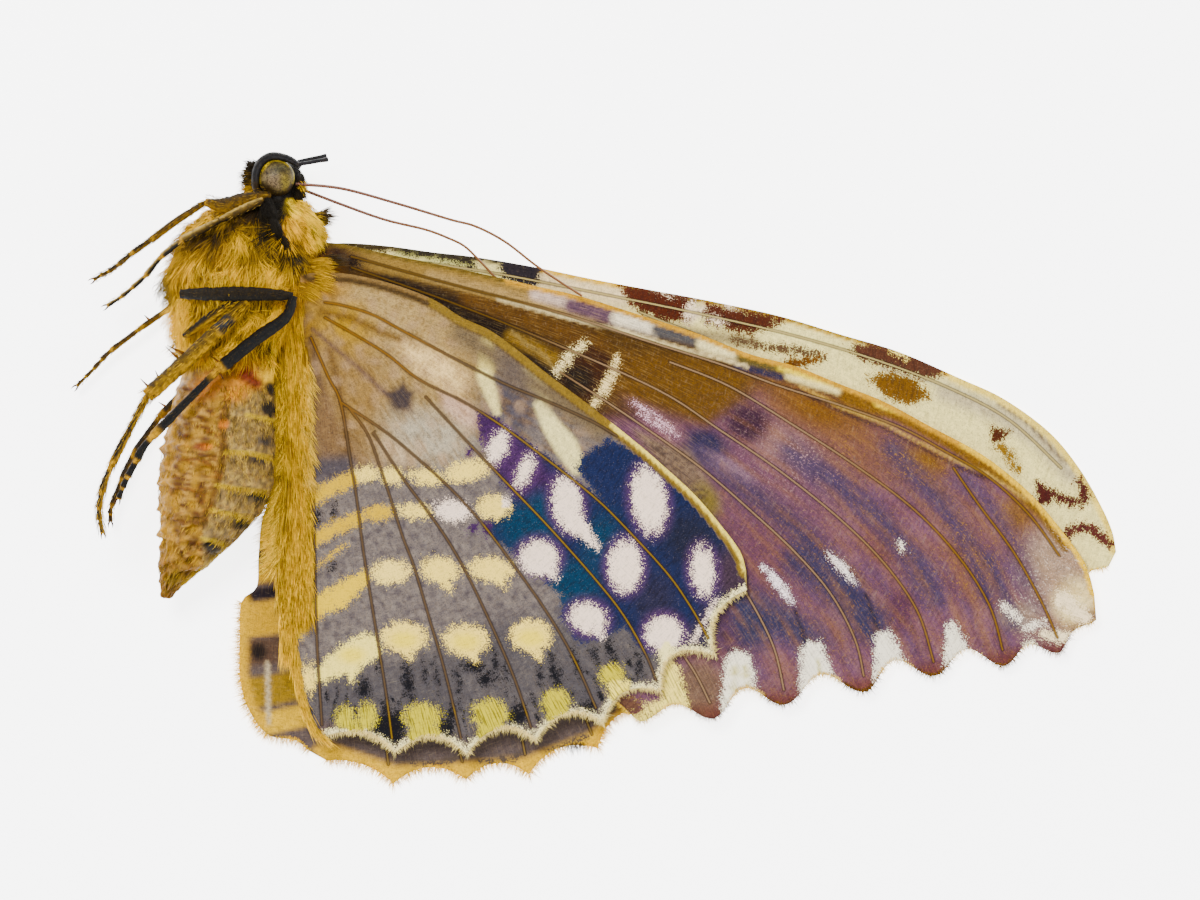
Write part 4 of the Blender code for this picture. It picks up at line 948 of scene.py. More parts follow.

# The marks in the upper forewing's cell, and a painted shadow that the upper hindwing's front edge casts on
# the forewing.
FORE_CELL_AND_SHADOW = [
    (
        [(613, 350), (700, 358), (752, 378), (730, 404), (706, 426), (660, 408), (610, 392)], 0,
        (112, 78, 32), 8,
    ),
    # A near-black stroke and spot along the upper hindwing's front edge: painted shadow of that edge.
    ([(390, 284), (440, 302), (492, 324), (560, 374)], 24, (16, 12, 8), 8),
    ([(470, 298), (560, 330), (600, 346)], 18, (100, 68, 14), 7),
    (506, 339, 26, 10, 30, (14, 10, 8), 4),
    ([(511, 337), (534, 348), (555, 360)], 13, (150, 116, 58), 5),
    (
        [(562, 350), (588, 344), (612, 356), (606, 384), (592, 404), (566, 388), (556, 372)], 0,
        (52, 32, 20), 4,
    ),
    (578, 380, 30, 30, 20, (20, 16, 14), 7),
    (
        [(634, 430), (690, 452), (706, 476), (716, 504), (712, 516), (684, 494), (660, 464)], 0,
        (150, 128, 112), 6,
    ),
    (706, 500, 24, 34, -30, (146, 130, 84), 8),
]

# The upper forewing's margin, the strip under its front edge, and its fine lines.
FORE_STRIP = [
    (698, 694, 50, 66, 10, (138, 112, 100), 10), (FORE_LOBES, 26, (112, 64, 56), 10, 0.75),
    ([(356, 256), (450, 277), (560, 306)], 21, (172, 140, 92), 3),
    ([(430, 276), (520, 298), (590, 318)], 10, (190, 160, 116), 4),
    ([(536, 294), (572, 304)], 12, (214, 190, 176), 4),
    ([(572, 306), (612, 317)], 15, (120, 92, 112), 4),
    ([(618, 318), (655, 328)], 14, (240, 226, 200), 4),
    ([(658, 330), (700, 340)], 14, (98, 98, 102), 4),
    ([(704, 344), (742, 354)], 14, (242, 226, 176), 4),
    ([(742, 358), (786, 368)], 14, (108, 98, 64), 4),
    ([(786, 376), (815, 383), (852, 396)], (5, 9, 4), (246, 228, 170), 3),
    ([(780, 368), (815, 377), (858, 391)], (4, 9, 5), (252, 222, 90), 3),
    ([(848, 396), (900, 414), (950, 441), (1000, 474)], 17, (136, 96, 44), 3),
    ([(1000, 474), (1040, 512), (1066, 548)], 9, (144, 106, 50), 3),
    ([(736, 366), (782, 377)], 7, (44, 42, 84), 2), ([(879, 402), (908, 412)], 10, (244, 204, 92), 2),
    ([(949, 434), (974, 448), (993, 460)], 10, (244, 204, 92), 2),
    ([(1012, 478), (1040, 504)], 5, (236, 196, 100), 2),
    ([(500, 300), (560, 316), (623, 331), (667, 344), (694, 352), (747, 366)], 3, (220, 202, 160), 1.5),
    (
        [(800, 386), (841, 407), (883, 423), (924, 444), (957, 461), (987, 473), (1028, 500)], 2.5,
        (206, 170, 110), 1.5,
    ),
    ([(800, 391), (841, 412), (883, 428), (924, 449), (957, 466), (987, 479)], 3, (52, 34, 40), 2),
    ([(512, 331), (526, 344), (545, 356), (553, 368)], 3.5, (172, 146, 100), 2),
    (340, 260, 50, 26, 10, (58, 40, 18), 9), (330, 266, 24, 18, 0, (170, 112, 20), 8),
    ([(720, 622), (730, 652)], 2.5, (28, 26, 44), 2), ([(795, 610), (806, 642)], 2.5, (28, 26, 44), 2),
    ([(866, 594), (878, 630)], 2.5, (28, 26, 44), 2),
]


def paint_fore_left(p):
    """The under side of the upper forewing."""
    x, y = p[:, 0], p[:, 1]
    ground = Paint(p, (138, 98, 124))
    outer = x + 0.4 * y > 930
    fan = fanned(p, 0.16, True)
    ground.over(only(outer, cloud(fan, 22, 81) * 7 - 1), (92, 68, 108), 6, 0.6)
    ground.over(only(outer, cloud(fan, 16, 82) * 6 - 2), (180, 130, 116), 5, 0.45)
    ground.over(only(outer, cloud(fan, 9, 83) * 4 - 1), (104, 68, 82), 3, 0.5)
    ground.lay(FORE_CLOUDS)
    ground.over(only(x > 720, cloud(fanned(p, 0.1, True), 9, 98) * 4 - 2), (172, 120, 84), 3, 0.3)
    ground.lay(FORE_CELL_AND_SHADOW)
    triangle = patch(p, [(636, 436), (690, 456), (710, 500), (700, 506), (664, 470)])
    ground.over(np.minimum(triangle, cloud(fanned(p, 0.5), 8, 97) * 4 - 0.5), (88, 74, 72), 3, 0.75)
    ground.lay(FORE_STRIP)
    costa = away(p, curved(FORE_COSTA, 6))[0]
    ground.over(only(x < 520, 3.6 - costa), (122, 102, 58), 1.5)
    ground.over(only(x >= 505, 4.6 - costa), (226, 162, 22), 1.2)
    ground.over(only(x > 960, 4.6 - costa), (240, 192, 84), 1.2)

    marks = Marks(p, WHITE).lay(FORE_STROKES)
    for line in ([(734, 666), (736, 700)], [(744, 660), (748, 700)], [(818, 660), (824, 694)]):
        marks.tint.over(stroke(p, line, 2.5), (206, 196, 130), 2)
    blots = Marks(p, BLACK).lay([
        (628, 705, 32, 17, 5, (124, 88, 76)), (353, 262, 16, 9, 10, (24, 16, 10)),
        (336, 254, 18, 8, 10, (40, 26, 12)),
    ])
    marks.depth = np.minimum(marks.depth, -blots.depth - 2.0)
    veins = Paint(p, (168, 138, 112))
    veins.over(x - 880, (150, 108, 52), 90)
    veins.over(560 - x, (104, 76, 34), 60)
    warm = smooth(x, 640, 820) * 0.55
    for oval in ((922, 460, 90, 60), (970, 560, 80, 100), (1020, 520, 60, 80), (826, 452, 80, 50)):
        warm = np.maximum(warm, smooth(spot(p, *oval), -18, 18))
    speckle_tint = Paint(p, (196, 140, 66))
    speckle_tint.over(spot(p, 1070, 590, 110, 130, 20), (226, 210, 196), 20)
    speckle_tint.over(spot(p, 760, 450, 160, 80, 30), (214, 172, 176), 20)
    hairy = 0.3 + 0.7 * smooth(700 - x, -40, 80)
    return layers(ground, marks, blots, veins, hairy, warm, speckle_tint)


# Brown marks of the lower forewing's upper side.
FAR_MARKS = [
    (
        [
            (620, 284), (660, 288), (700, 298), (696, 304), (690, 322), (664, 320), (640, 312),
            (628, 301),
        ],
        0, (84, 44, 26), 1,
    ),
    (
        [(706, 303), (745, 310), (788, 319), (772, 327), (750, 334), (726, 329), (704, 322)], 0,
        (84, 46, 34), 1,
    ),
    (
        [
            (848, 346), (872, 343), (908, 351), (938, 361), (948, 373), (928, 379), (892, 368),
            (862, 360),
        ],
        0, (100, 64, 52), 1,
    ),
    ([(868, 377), (890, 372), (916, 379), (930, 396), (912, 404), (888, 398)], 0, (140, 96, 34), 1),
    ([(500, 258), (540, 266), (536, 286), (512, 282), (502, 272)], 0, (48, 42, 46), 2),
    ([(345, 240), (392, 243), (400, 250), (372, 252), (345, 250)], 0, (70, 58, 40), 1),
    ([(400, 246), (470, 254), (478, 270), (452, 262), (400, 253)], 0, (52, 46, 36), 0),
    ([(1037, 482), (1056, 494), (1050, 503), (1040, 504)], 0, (74, 38, 34), 2),
    ([(989, 427), (1012, 430), (1004, 440), (994, 448)], 0, (80, 44, 30), 0),
    ([(735, 340), (770, 347), (800, 351), (823, 357)], (2, 2, 2, 2), (110, 84, 66), 3),
    ([(790, 364), (805, 361), (823, 356)], (6, 5, 2), (130, 84, 50), 3),
    (
        [(1048, 492), (1060, 498), (1072, 502), (1082, 502), (1087, 497), (1084, 488), (1080, 482)],
        (8, 4, 4, 5, 5, 4, 3), (78, 40, 36), 3,
    ),
    (
        [(1066, 535), (1078, 527), (1090, 529), (1100, 535), (1111, 544)], (6, 5, 5, 5, 4),
        (92, 50, 46), 3,
    ),
    ([(1000, 446), (1010, 456), (1018, 470)], (3, 5, 2), (166, 124, 70), 3),
]

# Soft greys, browns and fine lines of that side's cream ground, and cream marks on its brown ones, with one
# painted glint.
FAR_GROUND = [
    ([(545, 278), (620, 296)], 26, (226, 204, 166), 10),
    ([(660, 326), (700, 334), (752, 342)], 11, (128, 112, 98), 6, 0.8),
    ([(690, 318), (710, 304)], 10, (226, 206, 178), 5),
    ([(945, 392), (1000, 414), (1040, 440), (1072, 474)], 20, (196, 184, 162), 9, 0.8),
    ([(880, 368), (930, 382), (987, 400)], 3, (206, 196, 160), 1.5),
    ([(1000, 404), (1030, 424), (1056, 452), (1066, 462)], 3, (120, 104, 92), 2),
    ([(400, 252), (470, 264)], 9, (206, 202, 140), 4),
]
FAR_LIGHTS = [
    (690, 310, 12, 22, 20, (228, 208, 180), -1.0), (716, 320, 18, 9, 20, (228, 208, 180), -1.0),
    (664, 292, 14, 5, 20, (228, 208, 180), -1.0), (730, 306, 12, 5, 20, (228, 208, 180), -1.0),
    # A painted glint at the top edge of a brown patch.
    ([(893, 351), (908, 356)], 4, (250, 226, 150)),
]


def paint_fore_right(p):
    """The upper side of the lower forewing, of which a strip shows."""
    x = p[:, 0]
    ground = Paint(p, (255, 240, 176)).lay(FAR_GROUND)
    costa = away(p, curved(FAR_FORE_COSTA, 6))[0]
    ground.over(only(x > 535, 4.2 - costa), (230, 178, 60), 1.5)
    ground.over(only((x > 620) & (x < 940), 3.0 - costa), (176, 146, 84), 1.5)
    ground.over(only(x > 950, 6.0 - costa), (246, 216, 134), 1.5)
    ground.over(only(x <= 540, 4.0 - costa), (38, 34, 30), 2)
    marks = Marks(p, CREAM).lay(FAR_LIGHTS)
    blots = Marks(p, (96, 50, 34)).lay(FAR_MARKS)
    veins = Paint(p, (196, 178, 130))
    speckle = smooth(stroke(p, [(650, 326), (760, 344)], 18), -3, 4) * 0.9
    speckle = np.maximum(speckle, smooth(stroke(p, [(940, 400), (1060, 460)], 36), -4, 6) * 0.35)
    return layers(ground, marks, blots, veins, np.full(len(p), 0.25), speckle, Paint(p, (104, 84, 66)))


# Bands across the lower hindwing's inner edge: the plan row, the width and the colour.
FAR_BANDS = [
    (522, 12, (40, 32, 30)), (538, 14, (214, 160, 20)), (554, 11, (50, 42, 50)),
    (572, 17, (218, 164, 20)), (592, 12, (30, 26, 34)), (617, 34, (222, 168, 6)),
    (650, 26, (104, 84, 74)), (690, 30, (176, 142, 80)), (722, 22, (226, 178, 30)),
]


def paint_hind_right(p):
    """The upper side of the lower hindwing, of which the inner edge and the fringe show."""
    ground = Paint(p, (112, 100, 98))
    for row, width, colour in FAR_BANDS:
        ground.over(stroke(p, [(225, row + 6), (270, row + 1), (330, row - 12)], width), colour, 3)
    ground.lay([
        (258, 652, 16, 18, 0, (24, 20, 20), 4), ([(267, 664), (268, 724)], 4, (206, 190, 160), 2),
        (FAR_HIND_TEETH, 34, (232, 178, 20), 5), (FAR_HIND_INNER[3:8], 16, (226, 172, 10), 5),
    ])
    blots = Marks(p, BLACK)
    for line in (
        [(412, 762), (438, 764), (458, 758)], [(480, 762), (510, 760), (526, 752)],
        [(548, 752), (584, 738)],
    ):
        blots.add(stroke(p, line, 3, 6, 3), (96, 84, 76))
    return layers(ground, Marks(p, YELLOW), blots, Paint(p, (150, 124, 84)), np.full(len(p), 0.3))


def wing_outline(costa, ends, depths, pointed, inner, steps):
    """A wing's outline, from its front edge, outer margin and inner edge, and the step of each."""
    return np.vstack((
        curved(costa, steps[0]), margin(ends, depths, pointed, steps[1]), curved(inner, steps[2])
    ))


def wings():
    """The four wings. Where little of one shows, its points lie apart."""
    scales = wing_material()
    wing_piece(
        "hindwing_left", "wing_hind_left",
        wing_outline(HIND_COSTA, HIND_TEETH, HIND_SCALLOPS, True, HIND_INNER, (5.0, 3.4, 6.0)),
        HIND_VEINS, 2.8, scales, paint_hind_left,
    )
    wing_piece(
        "forewing_left", "wing_fore_left",
        wing_outline(FORE_COSTA, FORE_LOBES, FORE_NOTCHES, False, FORE_INNER, (6.0, 4.0, 10.0)),
        FORE_VEINS, 3.2, scales, paint_fore_left, lambda p: p[:, 1] < 300 + (p[:, 0] - 420) * 0.95 + 30,
    )
    wing_piece(
        "forewing_right", "wing_fore_right",
        wing_outline(FAR_FORE_COSTA, FAR_FORE_LOBES, FORE_NOTCHES, False, FORE_INNER, (6.0, 6.0, 12.0)),
        FAR_FORE_VEINS, 3.4, scales, paint_fore_right, lambda p: away(p, FAR_FORE_COSTA)[0] < 60,
    )
    wing_piece(
        "hindwing_right", "wing_hind_right",
        wing_outline(
            FAR_HIND_COSTA, FAR_HIND_TEETH, FAR_HIND_SCALLOPS, True, FAR_HIND_INNER, (10.0, 4.0, 5.0)
        ),
        FAR_HIND_VEINS, 4.0, scales, paint_hind_right, lambda p: (p[:, 0] < 330) | (p[:, 1] > 700),
    )


# The body's rows from the crown to the tail's tip: plan y, plan x of the belly and the back, depth
# under and above the level, and the level.
BODY_RINGS = [
    (156, 266, 282, 0.0012, 0.0012, 0.0088), (160, 257, 291, 0.0026, 0.0026, 0.0088),
    (168, 251, 298, 0.0035, 0.0035, 0.0088), (178, 249, 301, 0.0039, 0.0039, 0.0088),
    (188, 252, 300, 0.0036, 0.0036, 0.0088), (195, 255, 297, 0.0032, 0.0031, 0.0088),
    (200, 244, 296, 0.0037, 0.0033, 0.0088), (207, 226, 303, 0.0056, 0.0046, 0.0087),
    (218, 204, 313, 0.0072, 0.0058, 0.0086), (238, 189, 321, 0.0080, 0.0066, 0.0085),
    (262, 180, 322, 0.0082, 0.0069, 0.0085), (284, 172, 318, 0.0082, 0.0069, 0.0085),
    (300, 176, 313, 0.0081, 0.0068, 0.0085), (318, 181, 306, 0.0079, 0.0066, 0.0084),
    (336, 184, 295, 0.0074, 0.0061, 0.0083), (350, 188, 283, 0.0066, 0.0058, 0.0082),
    (366, 186, 279, 0.0064, 0.0064, 0.0079), (388, 178, 277, 0.0072, 0.0071, 0.0076),
    (417, 171, 276, 0.0075, 0.0074, 0.0074), (453, 163, 275, 0.0072, 0.0072, 0.0073),
    (487, 159, 273, 0.0067, 0.0066, 0.0068), (513, 161, 261, 0.0060, 0.0059, 0.0064),
    (541, 161, 234, 0.0048, 0.0047, 0.0060), (566, 160, 206, 0.0035, 0.0034, 0.0057),
    (583, 161, 185, 0.0022, 0.0022, 0.0055), (594, 163, 171, 0.0009, 0.0009, 0.0054),
    (598, 165, 167, 0.0002, 0.0002, 0.0054),
]
# How far apart the skin's rows are, and how many points go round each.
BODY_ROW_STEP = 1.3
BODY_SIDES = 150
# How far about one place of the body's outline is evened out, in rows.
BODY_EVEN = 7
# The rows of the abdomen's ring seams.
SEAM_ROWS = [388, 418, 453, 488, 513, 541, 566, 600]
# Where the abdomen's flank fold runs, and its columns at a few rows, which part back and flank.
FLANK_FOLD = [
    (233, 384), (229, 404), (226, 424), (225, 439), (227, 453), (222, 476), (214, 500), (204, 524),
]
FOLD_ROWS = (384, 439, 476, 524)
FOLD_COLUMNS = (233, 226, 222, 204)
# How high the rings' lower edges stand, how deep and wide the flank fold is, and how high the folds
# and the lumps at the abdomen's root are.
SEAM_RISE = 0.00030
FOLD_DEPTH = 0.00025
FOLD_HALF_WIDTH = 4.5
WIDE_FOLDS, NARROW_FOLDS = 0.00018, 0.00008
LUMPS = 0.0003
# The lowest level of any point of body, leg or fringe.
LOWEST = 0.00012


def body_table():
    """The body's rows close together, and their five measures evened out."""
    rings = np.array(BODY_RINGS)
    rows = np.arange(rings[0, 0], rings[-1, 0] + 0.5, 1.0)
    weights = np.hanning(2 * BODY_EVEN + 1)
    weights /= weights.sum()
    columns = []
    for column in rings[:, 1:].T:
        full = np.interp(rows, rings[:, 0], column)
        padded = np.concatenate((np.full(BODY_EVEN, full[0]), full, np.full(BODY_EVEN, full[-1])))
        columns.append(np.convolve(padded, weights, "valid"))
    return rows, columns


BODY_ROWS, BODY_COLUMNS = body_table()


def skin_at(rows, angles, rise=0.0):
    """Places, outward directions and plan points of the skin, at rows and angles from the back."""
    belly, back, below, above, level = (np.interp(rows, BODY_ROWS, column) for column in BODY_COLUMNS)
    wide, wider = (
        np.interp(rows + shift, BODY_ROWS, BODY_COLUMNS[1] - BODY_COLUMNS[0]) / 2 for shift in (-2, 2)
    )
    turn = np.radians(angles)
    depth = np.where(np.sin(turn) > 0, above, below)
    reach = (back - belly) / 2
    flat = np.stack(((belly + back) / 2 + reach * np.cos(turn), rows), axis=-1)
    slope = np.clip((wider - wide) / 4, -2.0, 2.0)
    out = np.stack((np.cos(turn) * depth / GRID, slope * depth / GRID, np.sin(turn) * reach), axis=-1)
    out /= np.maximum(np.linalg.norm(out, axis=-1, keepdims=True), 1e-9)
    points = place(flat, level + depth * np.sin(turn)) + out * np.asarray(rise)[..., None]
    points[..., 2] = np.maximum(points[..., 2], LOWEST)
    return points, out, flat


def seam_share(flat):
    """How far down its own ring of the abdomen each plan point lies, from 0 to 1."""
    x, y = flat[..., 0], flat[..., 1]
    dorsal = y - 0.13 * (x - 240)
    ventral = y + 2 - 7 * np.sin(np.clip((225 - x) / 60, 0, 1) * math.pi)
    side = smooth(x, 218, 232)
    row = ventral * (1 - side) + dorsal * side
    return np.interp(row, SEAM_ROWS, range(len(SEAM_ROWS)), left=0.0) % 1.0


def body_relief(flat, angles):
    """The skin's height over its smooth form."""
    rows = flat[..., 1]
    plan = flat.reshape(-1, 2)
    on_abdomen = smooth(rows, 372, 392)
    share = seam_share(flat)
    rings = (share ** 1.6 * (1 - smooth(share, 0.93, 1.0)) - 0.35) * SEAM_RISE
    spread = np.stack((angles * 0.9, rows), axis=-1)
    folds = cloud(spread * (1.0, 2.0), 30, 3) * WIDE_FOLDS
    folds = folds + cloud(spread * (1.0, 1.6), 14, 4) * NARROW_FOLDS
    ventral = smooth(210 - flat[..., 0], -22, 12)
    depth = FOLD_HALF_WIDTH - away(plan, FLANK_FOLD)[0].reshape(rows.shape)
    fold = -FOLD_DEPTH * smooth(depth, 0, FOLD_HALF_WIDTH)
    rump = smooth(spot(plan, 252, 366, 46, 46).reshape(rows.shape), -4, 8)
    lumps = rump * cloud(spread, 11, 5) * LUMPS
    return on_abdomen * (rings + folds * (0.5 + ventral) + fold) + lumps


# Soft patches of the body's colours.
BODY_CLOUDS = [
    (222, 240, 70, 26, -22, (176, 122, 26), 10), (236, 270, 34, 26, 0, (224, 170, 40), 8),
    (272, 266, 34, 22, 0, (236, 184, 30), 7), (206, 270, 20, 34, 10, (206, 158, 48), 7),
    (212, 268, 8, 20, 12, (150, 104, 30), 4), (245, 240, 22, 30, 10, (222, 172, 26), 8),
    (228, 252, 10, 30, 14, (150, 100, 18), 5), (254, 250, 12, 26, 0, (150, 108, 26), 5),
    (284, 252, 34, 18, 20, (110, 80, 36), 7), (304, 252, 30, 26, 20, (190, 136, 26), 8),
    (190, 262, 20, 30, 0, (196, 138, 20), 7), (186, 320, 24, 44, 0, (236, 182, 56), 8),
    (206, 324, 30, 26, -20, (204, 156, 62), 8), (230, 330, 40, 40, 0, (212, 160, 46), 10),
    (290, 318, 40, 36, 0, (226, 172, 24), 10), (184, 344, 26, 20, 0, (210, 164, 76), 7),
    (170, 286, 14, 56, 4, (58, 54, 24), 5), (300, 290, 26, 30, 0, (176, 112, 14), 8),
    (274, 342, 10, 20, 0, (230, 208, 110), 3), (262, 340, 16, 14, 0, (70, 46, 16), 4),
    (252, 366, 48, 48, 0, (226, 150, 20), 6), (248, 374, 18, 18, 30, (132, 62, 20), 5),
    (240, 364, 8, 14, 0, (196, 84, 24), 3), (270, 372, 18, 30, 0, (240, 190, 30), 5),
    (262, 356, 26, 8, 0, (246, 196, 24), 3), (262, 366, 10, 10, 0, (206, 150, 110), 3),
    (256, 382, 20, 12, 20, (120, 60, 20), 4), (233, 372, 8, 20, 0, (150, 96, 14), 3),
    (238, 392, 24, 20, 0, (214, 140, 40), 6), (210, 386, 40, 24, -40, (190, 120, 26), 8),
    (232, 352, 12, 16, -40, (190, 110, 20), 4),
]
# Small dark and bright spots of the abdomen.
BODY_DARK = [
    (270, 408, 18, 15, -20, (40, 36, 34), 3), (272, 388, 10, 13, -30, (44, 38, 36), 3),
    (266, 441, 16, 10, 0, (84, 76, 72), 4), (262, 458, 24, 9, 4, (66, 58, 56), 3),
    (259, 496, 26, 9, 5, (36, 34, 32), 3), (242, 522, 18, 11, 30, (50, 46, 40), 3),
    (214, 546, 20, 17, 35, (40, 34, 28), 4), (222, 556, 14, 12, 0, (110, 92, 40), 4),
    (176, 577, 22, 14, -35, (150, 118, 54), 4), (166, 590, 14, 14, 0, (146, 100, 24), 4),
    (204, 447, 16, 8, 5, (150, 86, 20), 2), (210, 447, 8, 5, 0, (232, 140, 30), 2),
    (226, 424, 9, 9, 0, (234, 140, 20), 2),
]
# Lines of the body: a painted shadow under the fore leg on the shoulder, the flank's folds and the rings'
# edges.
BODY_LINES = [
    # A painted shadow under the fore leg.
    ([(200, 238), (222, 231), (244, 220), (266, 208)], 12, (52, 34, 14), 5),
    ([(196, 426), (210, 428), (219, 437)], 3, (120, 78, 24), 1.5),
    ([(180, 460), (199, 459), (212, 464), (222, 478)], 3, (130, 84, 26), 1.5),
    ([(172, 489), (190, 488), (206, 496)], 3, (130, 84, 26), 2),
    ([(176, 520), (196, 522)], 4, (126, 84, 28), 2),
    ([(248, 415), (262, 418), (276, 421)], 4, (206, 170, 24), 1.2),
    ([(228, 452), (251, 453), (277, 459)], 4.5, (206, 170, 30), 1.2),
    ([(219, 485), (235, 488), (267, 492)], 4.5, (206, 168, 24), 1.2),
    ([(213, 510), (234, 514), (251, 518)], 4.5, (206, 170, 26), 1.2),
    ([(204, 538), (216, 541), (229, 546)], 4.5, (206, 172, 30), 1.2),
    ([(184, 584), (216, 558), (230, 548)], 5, (190, 156, 40), 1.5),
]
# The dark hollow behind the head, the pale collar and the golden tuft on it.
NECK_DARK = [
    (246, 196), (304, 190), (302, 199), (292, 202), (290, 214), (283, 222), (281, 236), (292, 246),
    (304, 256), (298, 262), (284, 252), (272, 242), (262, 228), (258, 212), (240, 206),
]
COLLAR = [(288, 200), (306, 200), (328, 216), (336, 240), (318, 246), (306, 240), (300, 222), (290, 214)]
COLLAR_TUFT = [(286, 218), (297, 214), (306, 226), (308, 244), (296, 246), (284, 240), (282, 228)]


BODY_SEED = 31


def paint_body(p):
    """The colours of skin and fur at plan points of the body, the same on both sides."""
    x, y = p[:, 0], p[:, 1]
    paint = Paint(p, (206, 154, 30))
    paint.over(cloud(p, 15, BODY_SEED) * 4, (128, 88, 12), 4, 0.8)
    paint.over(cloud(p, 12, BODY_SEED + 1) * 4 - 1.5, (230, 172, 34), 3, 0.7)
    paint.over(y - 376 + (x - 228) * 0.12, (132, 92, 32), 10)
    abdomen = y > 380
    # Pale pinkish and dark brown patches: the abdomen's own mottling, and also painted highlights on its
    # glossy skin and painted shade in its wrinkles.
    paint.over(only(abdomen, cloud(p * (0.8, 1.2), 15, BODY_SEED + 2) * 4), (204, 158, 104), 3, 0.85)
    paint.over(only(abdomen, cloud(p * (0.8, 1.5), 12, BODY_SEED + 3) * 4 - 1), (92, 56, 14), 2.5, 0.85)
    paint.over(only(abdomen, cloud(p, 22, BODY_SEED + 4) * 6 - 2), (206, 152, 30), 5, 0.7)
    side = np.where(x > np.interp(y, FOLD_ROWS, FOLD_COLUMNS), 1, -1)
    dorsal = np.minimum(away(p, FLANK_FOLD)[0] * side, y - FOLD_ROWS[0])
    paint.over(dorsal, (164, 136, 98), 4)
    paint.over(only(dorsal > 0, cloud(p * (1.0, 0.6), 6, BODY_SEED + 5) * 3 - 1), (84, 72, 56), 2, 0.75)
    paint.over(only(dorsal > 0, cloud(p, 9, BODY_SEED + 6) * 3 - 1), (212, 178, 118), 2, 0.6)
    paint.over(stroke(p, FLANK_FOLD, 8), (122, 82, 24), 3, 0.85)
    paint.over(only(y > 400, 172 + (y - 500) ** 2 * 0.0012 - x), (190, 138, 44), 3, 0.6)
    paint.over(y - 560 - (x - 180) * 0.3, (134, 90, 16), 8, 0.6)
    paint.lay(BODY_CLOUDS + BODY_DARK + BODY_LINES)
    paint.lay([
        (NECK_DARK, 0, (20, 18, 14), 4), (COLLAR, 0, (238, 206, 76), 3),
        (322, 234, 18, 26, 20, (214, 190, 110), 4), (318, 230, 8, 16, 20, (60, 56, 40), 2.5, 0.8),
        (297, 206, 16, 12, 10, (240, 208, 50), 4), (COLLAR_TUFT, 0, (240, 168, 4), 3),
        (295, 236, 10, 14, 0, (214, 140, 4), 3),
    ])
    paint.over(199 - y, (14, 13, 13), 2)
    paint.over(spot(p, 300, 190, 12, 20, 0), (22, 20, 16), 3)
    return paint


def body_material():
    """Skin of the body: fine scales over painted patches."""
    s = Surface("body_skin")
    here = s.object_place()
    grain = s.noise(here, 4200.0, 3.0, 0.65)
    coarse = s.noise(here, 1100.0, 3.0, 0.6)
    painted = s.mix(s.step(grain, 0.3, 0.5, 0.45, 0.0), s.colour("tint"), (26, 18, 10))
    painted = s.mix(s.step(coarse, 0.5, 0.72, 0.0, 0.6), painted, (240, 220, 180), "SOFT_LIGHT")
    relief = s.math("ADD", grain, s.math("MULTIPLY", coarse, 1.4))
    return s.finish(
        Base_Color=painted, Roughness=s.step(coarse, 0.3, 0.7, 0.42, 0.75), Specular_IOR_Level=0.15,
        Normal=s.bump(relief, 0.7, 0.00018),
    )


def fur_material():
    """Hair: the strand's own colour, with streaks along it."""
    s = Surface("fur")
    here = s.object_place()
    streak = s.noise(here, 2600.0, 2.0, 0.6)
    painted = s.mix(s.step(streak, 0.3, 0.55, 0.25, 0.0), s.colour("tint"), (30, 18, 6))
    return s.finish(
        Base_Color=painted, Roughness=s.step(streak, 0.3, 0.7, 0.45, 0.65), Specular_IOR_Level=0.12,
        Normal=s.bump(streak, 0.3, 0.00005),
    )


def unwrap(rows, angles):
    """Places on the body's own unwrap, round it and down it."""
    down = (BODY_ROWS[-1] - rows) / (BODY_ROWS[-1] - BODY_ROWS[0])
    return np.stack(((angles % 360.0) / 360.0, down), axis=-1)


def add_unwrap(made, spots):
    """The map that the colours of a piece are laid out by, from one place for each point."""
    layer = made.data.uv_layers.new(name="OFBake")
    corners = np.empty(len(made.data.loops), np.int32)
    made.data.loops.foreach_get("vertex_index", corners)
    layer.data.foreach_set("uv", np.asarray(spots, np.float32)[corners].ravel())


def body_skin():
    """One skin over head, thorax and abdomen."""
    rows = np.arange(BODY_ROWS[0], BODY_ROWS[-1] + 0.1, BODY_ROW_STEP)
    angles = np.arange(BODY_SIDES) * 360.0 / BODY_SIDES
    row_grid, angle_grid = np.meshgrid(rows, angles, indexing="ij")
    flat = skin_at(row_grid, angle_grid)[2]
    points, _, _ = skin_at(row_grid, angle_grid, body_relief(flat, angle_grid))
    ring = np.arange(BODY_SIDES)
    turned = (ring + 1) % BODY_SIDES
    start = np.arange(len(rows) - 1)[:, None] * BODY_SIDES
    below = start + BODY_SIDES
    quads = np.stack((start + ring, below + ring, below + turned, start + turned), axis=-1).reshape(-1, 4)
    faces = np.concatenate((quads[:, [0, 1, 2]], quads[:, [0, 2, 3]]))
    crown, tail = row_grid.size, row_grid.size + 1
    last = (len(rows) - 1) * BODY_SIDES
    caps = np.concatenate((
        np.stack((ring, turned, np.full(BODY_SIDES, crown)), axis=1),
        np.stack((last + turned, last + ring, np.full(BODY_SIDES, tail)), axis=1),
    ))
    every = np.concatenate((points.reshape(-1, 3), [points[0].mean(axis=0)], [points[-1].mean(axis=0)]))
    flat = np.concatenate((flat.reshape(-1, 2), flat[0].mean(axis=0)[None], flat[-1].mean(axis=0)[None]))
    tint = paint_body(flat).colours
    made = new_object("body_skin", every, np.concatenate((faces, caps)), body_material(), {"tint": tint})
    spots = unwrap(row_grid, angle_grid).reshape(-1, 2)
    add_unwrap(made, np.concatenate((spots, spots[:1], spots[-1:])))
    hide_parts("head", "thorax", "abdomen")


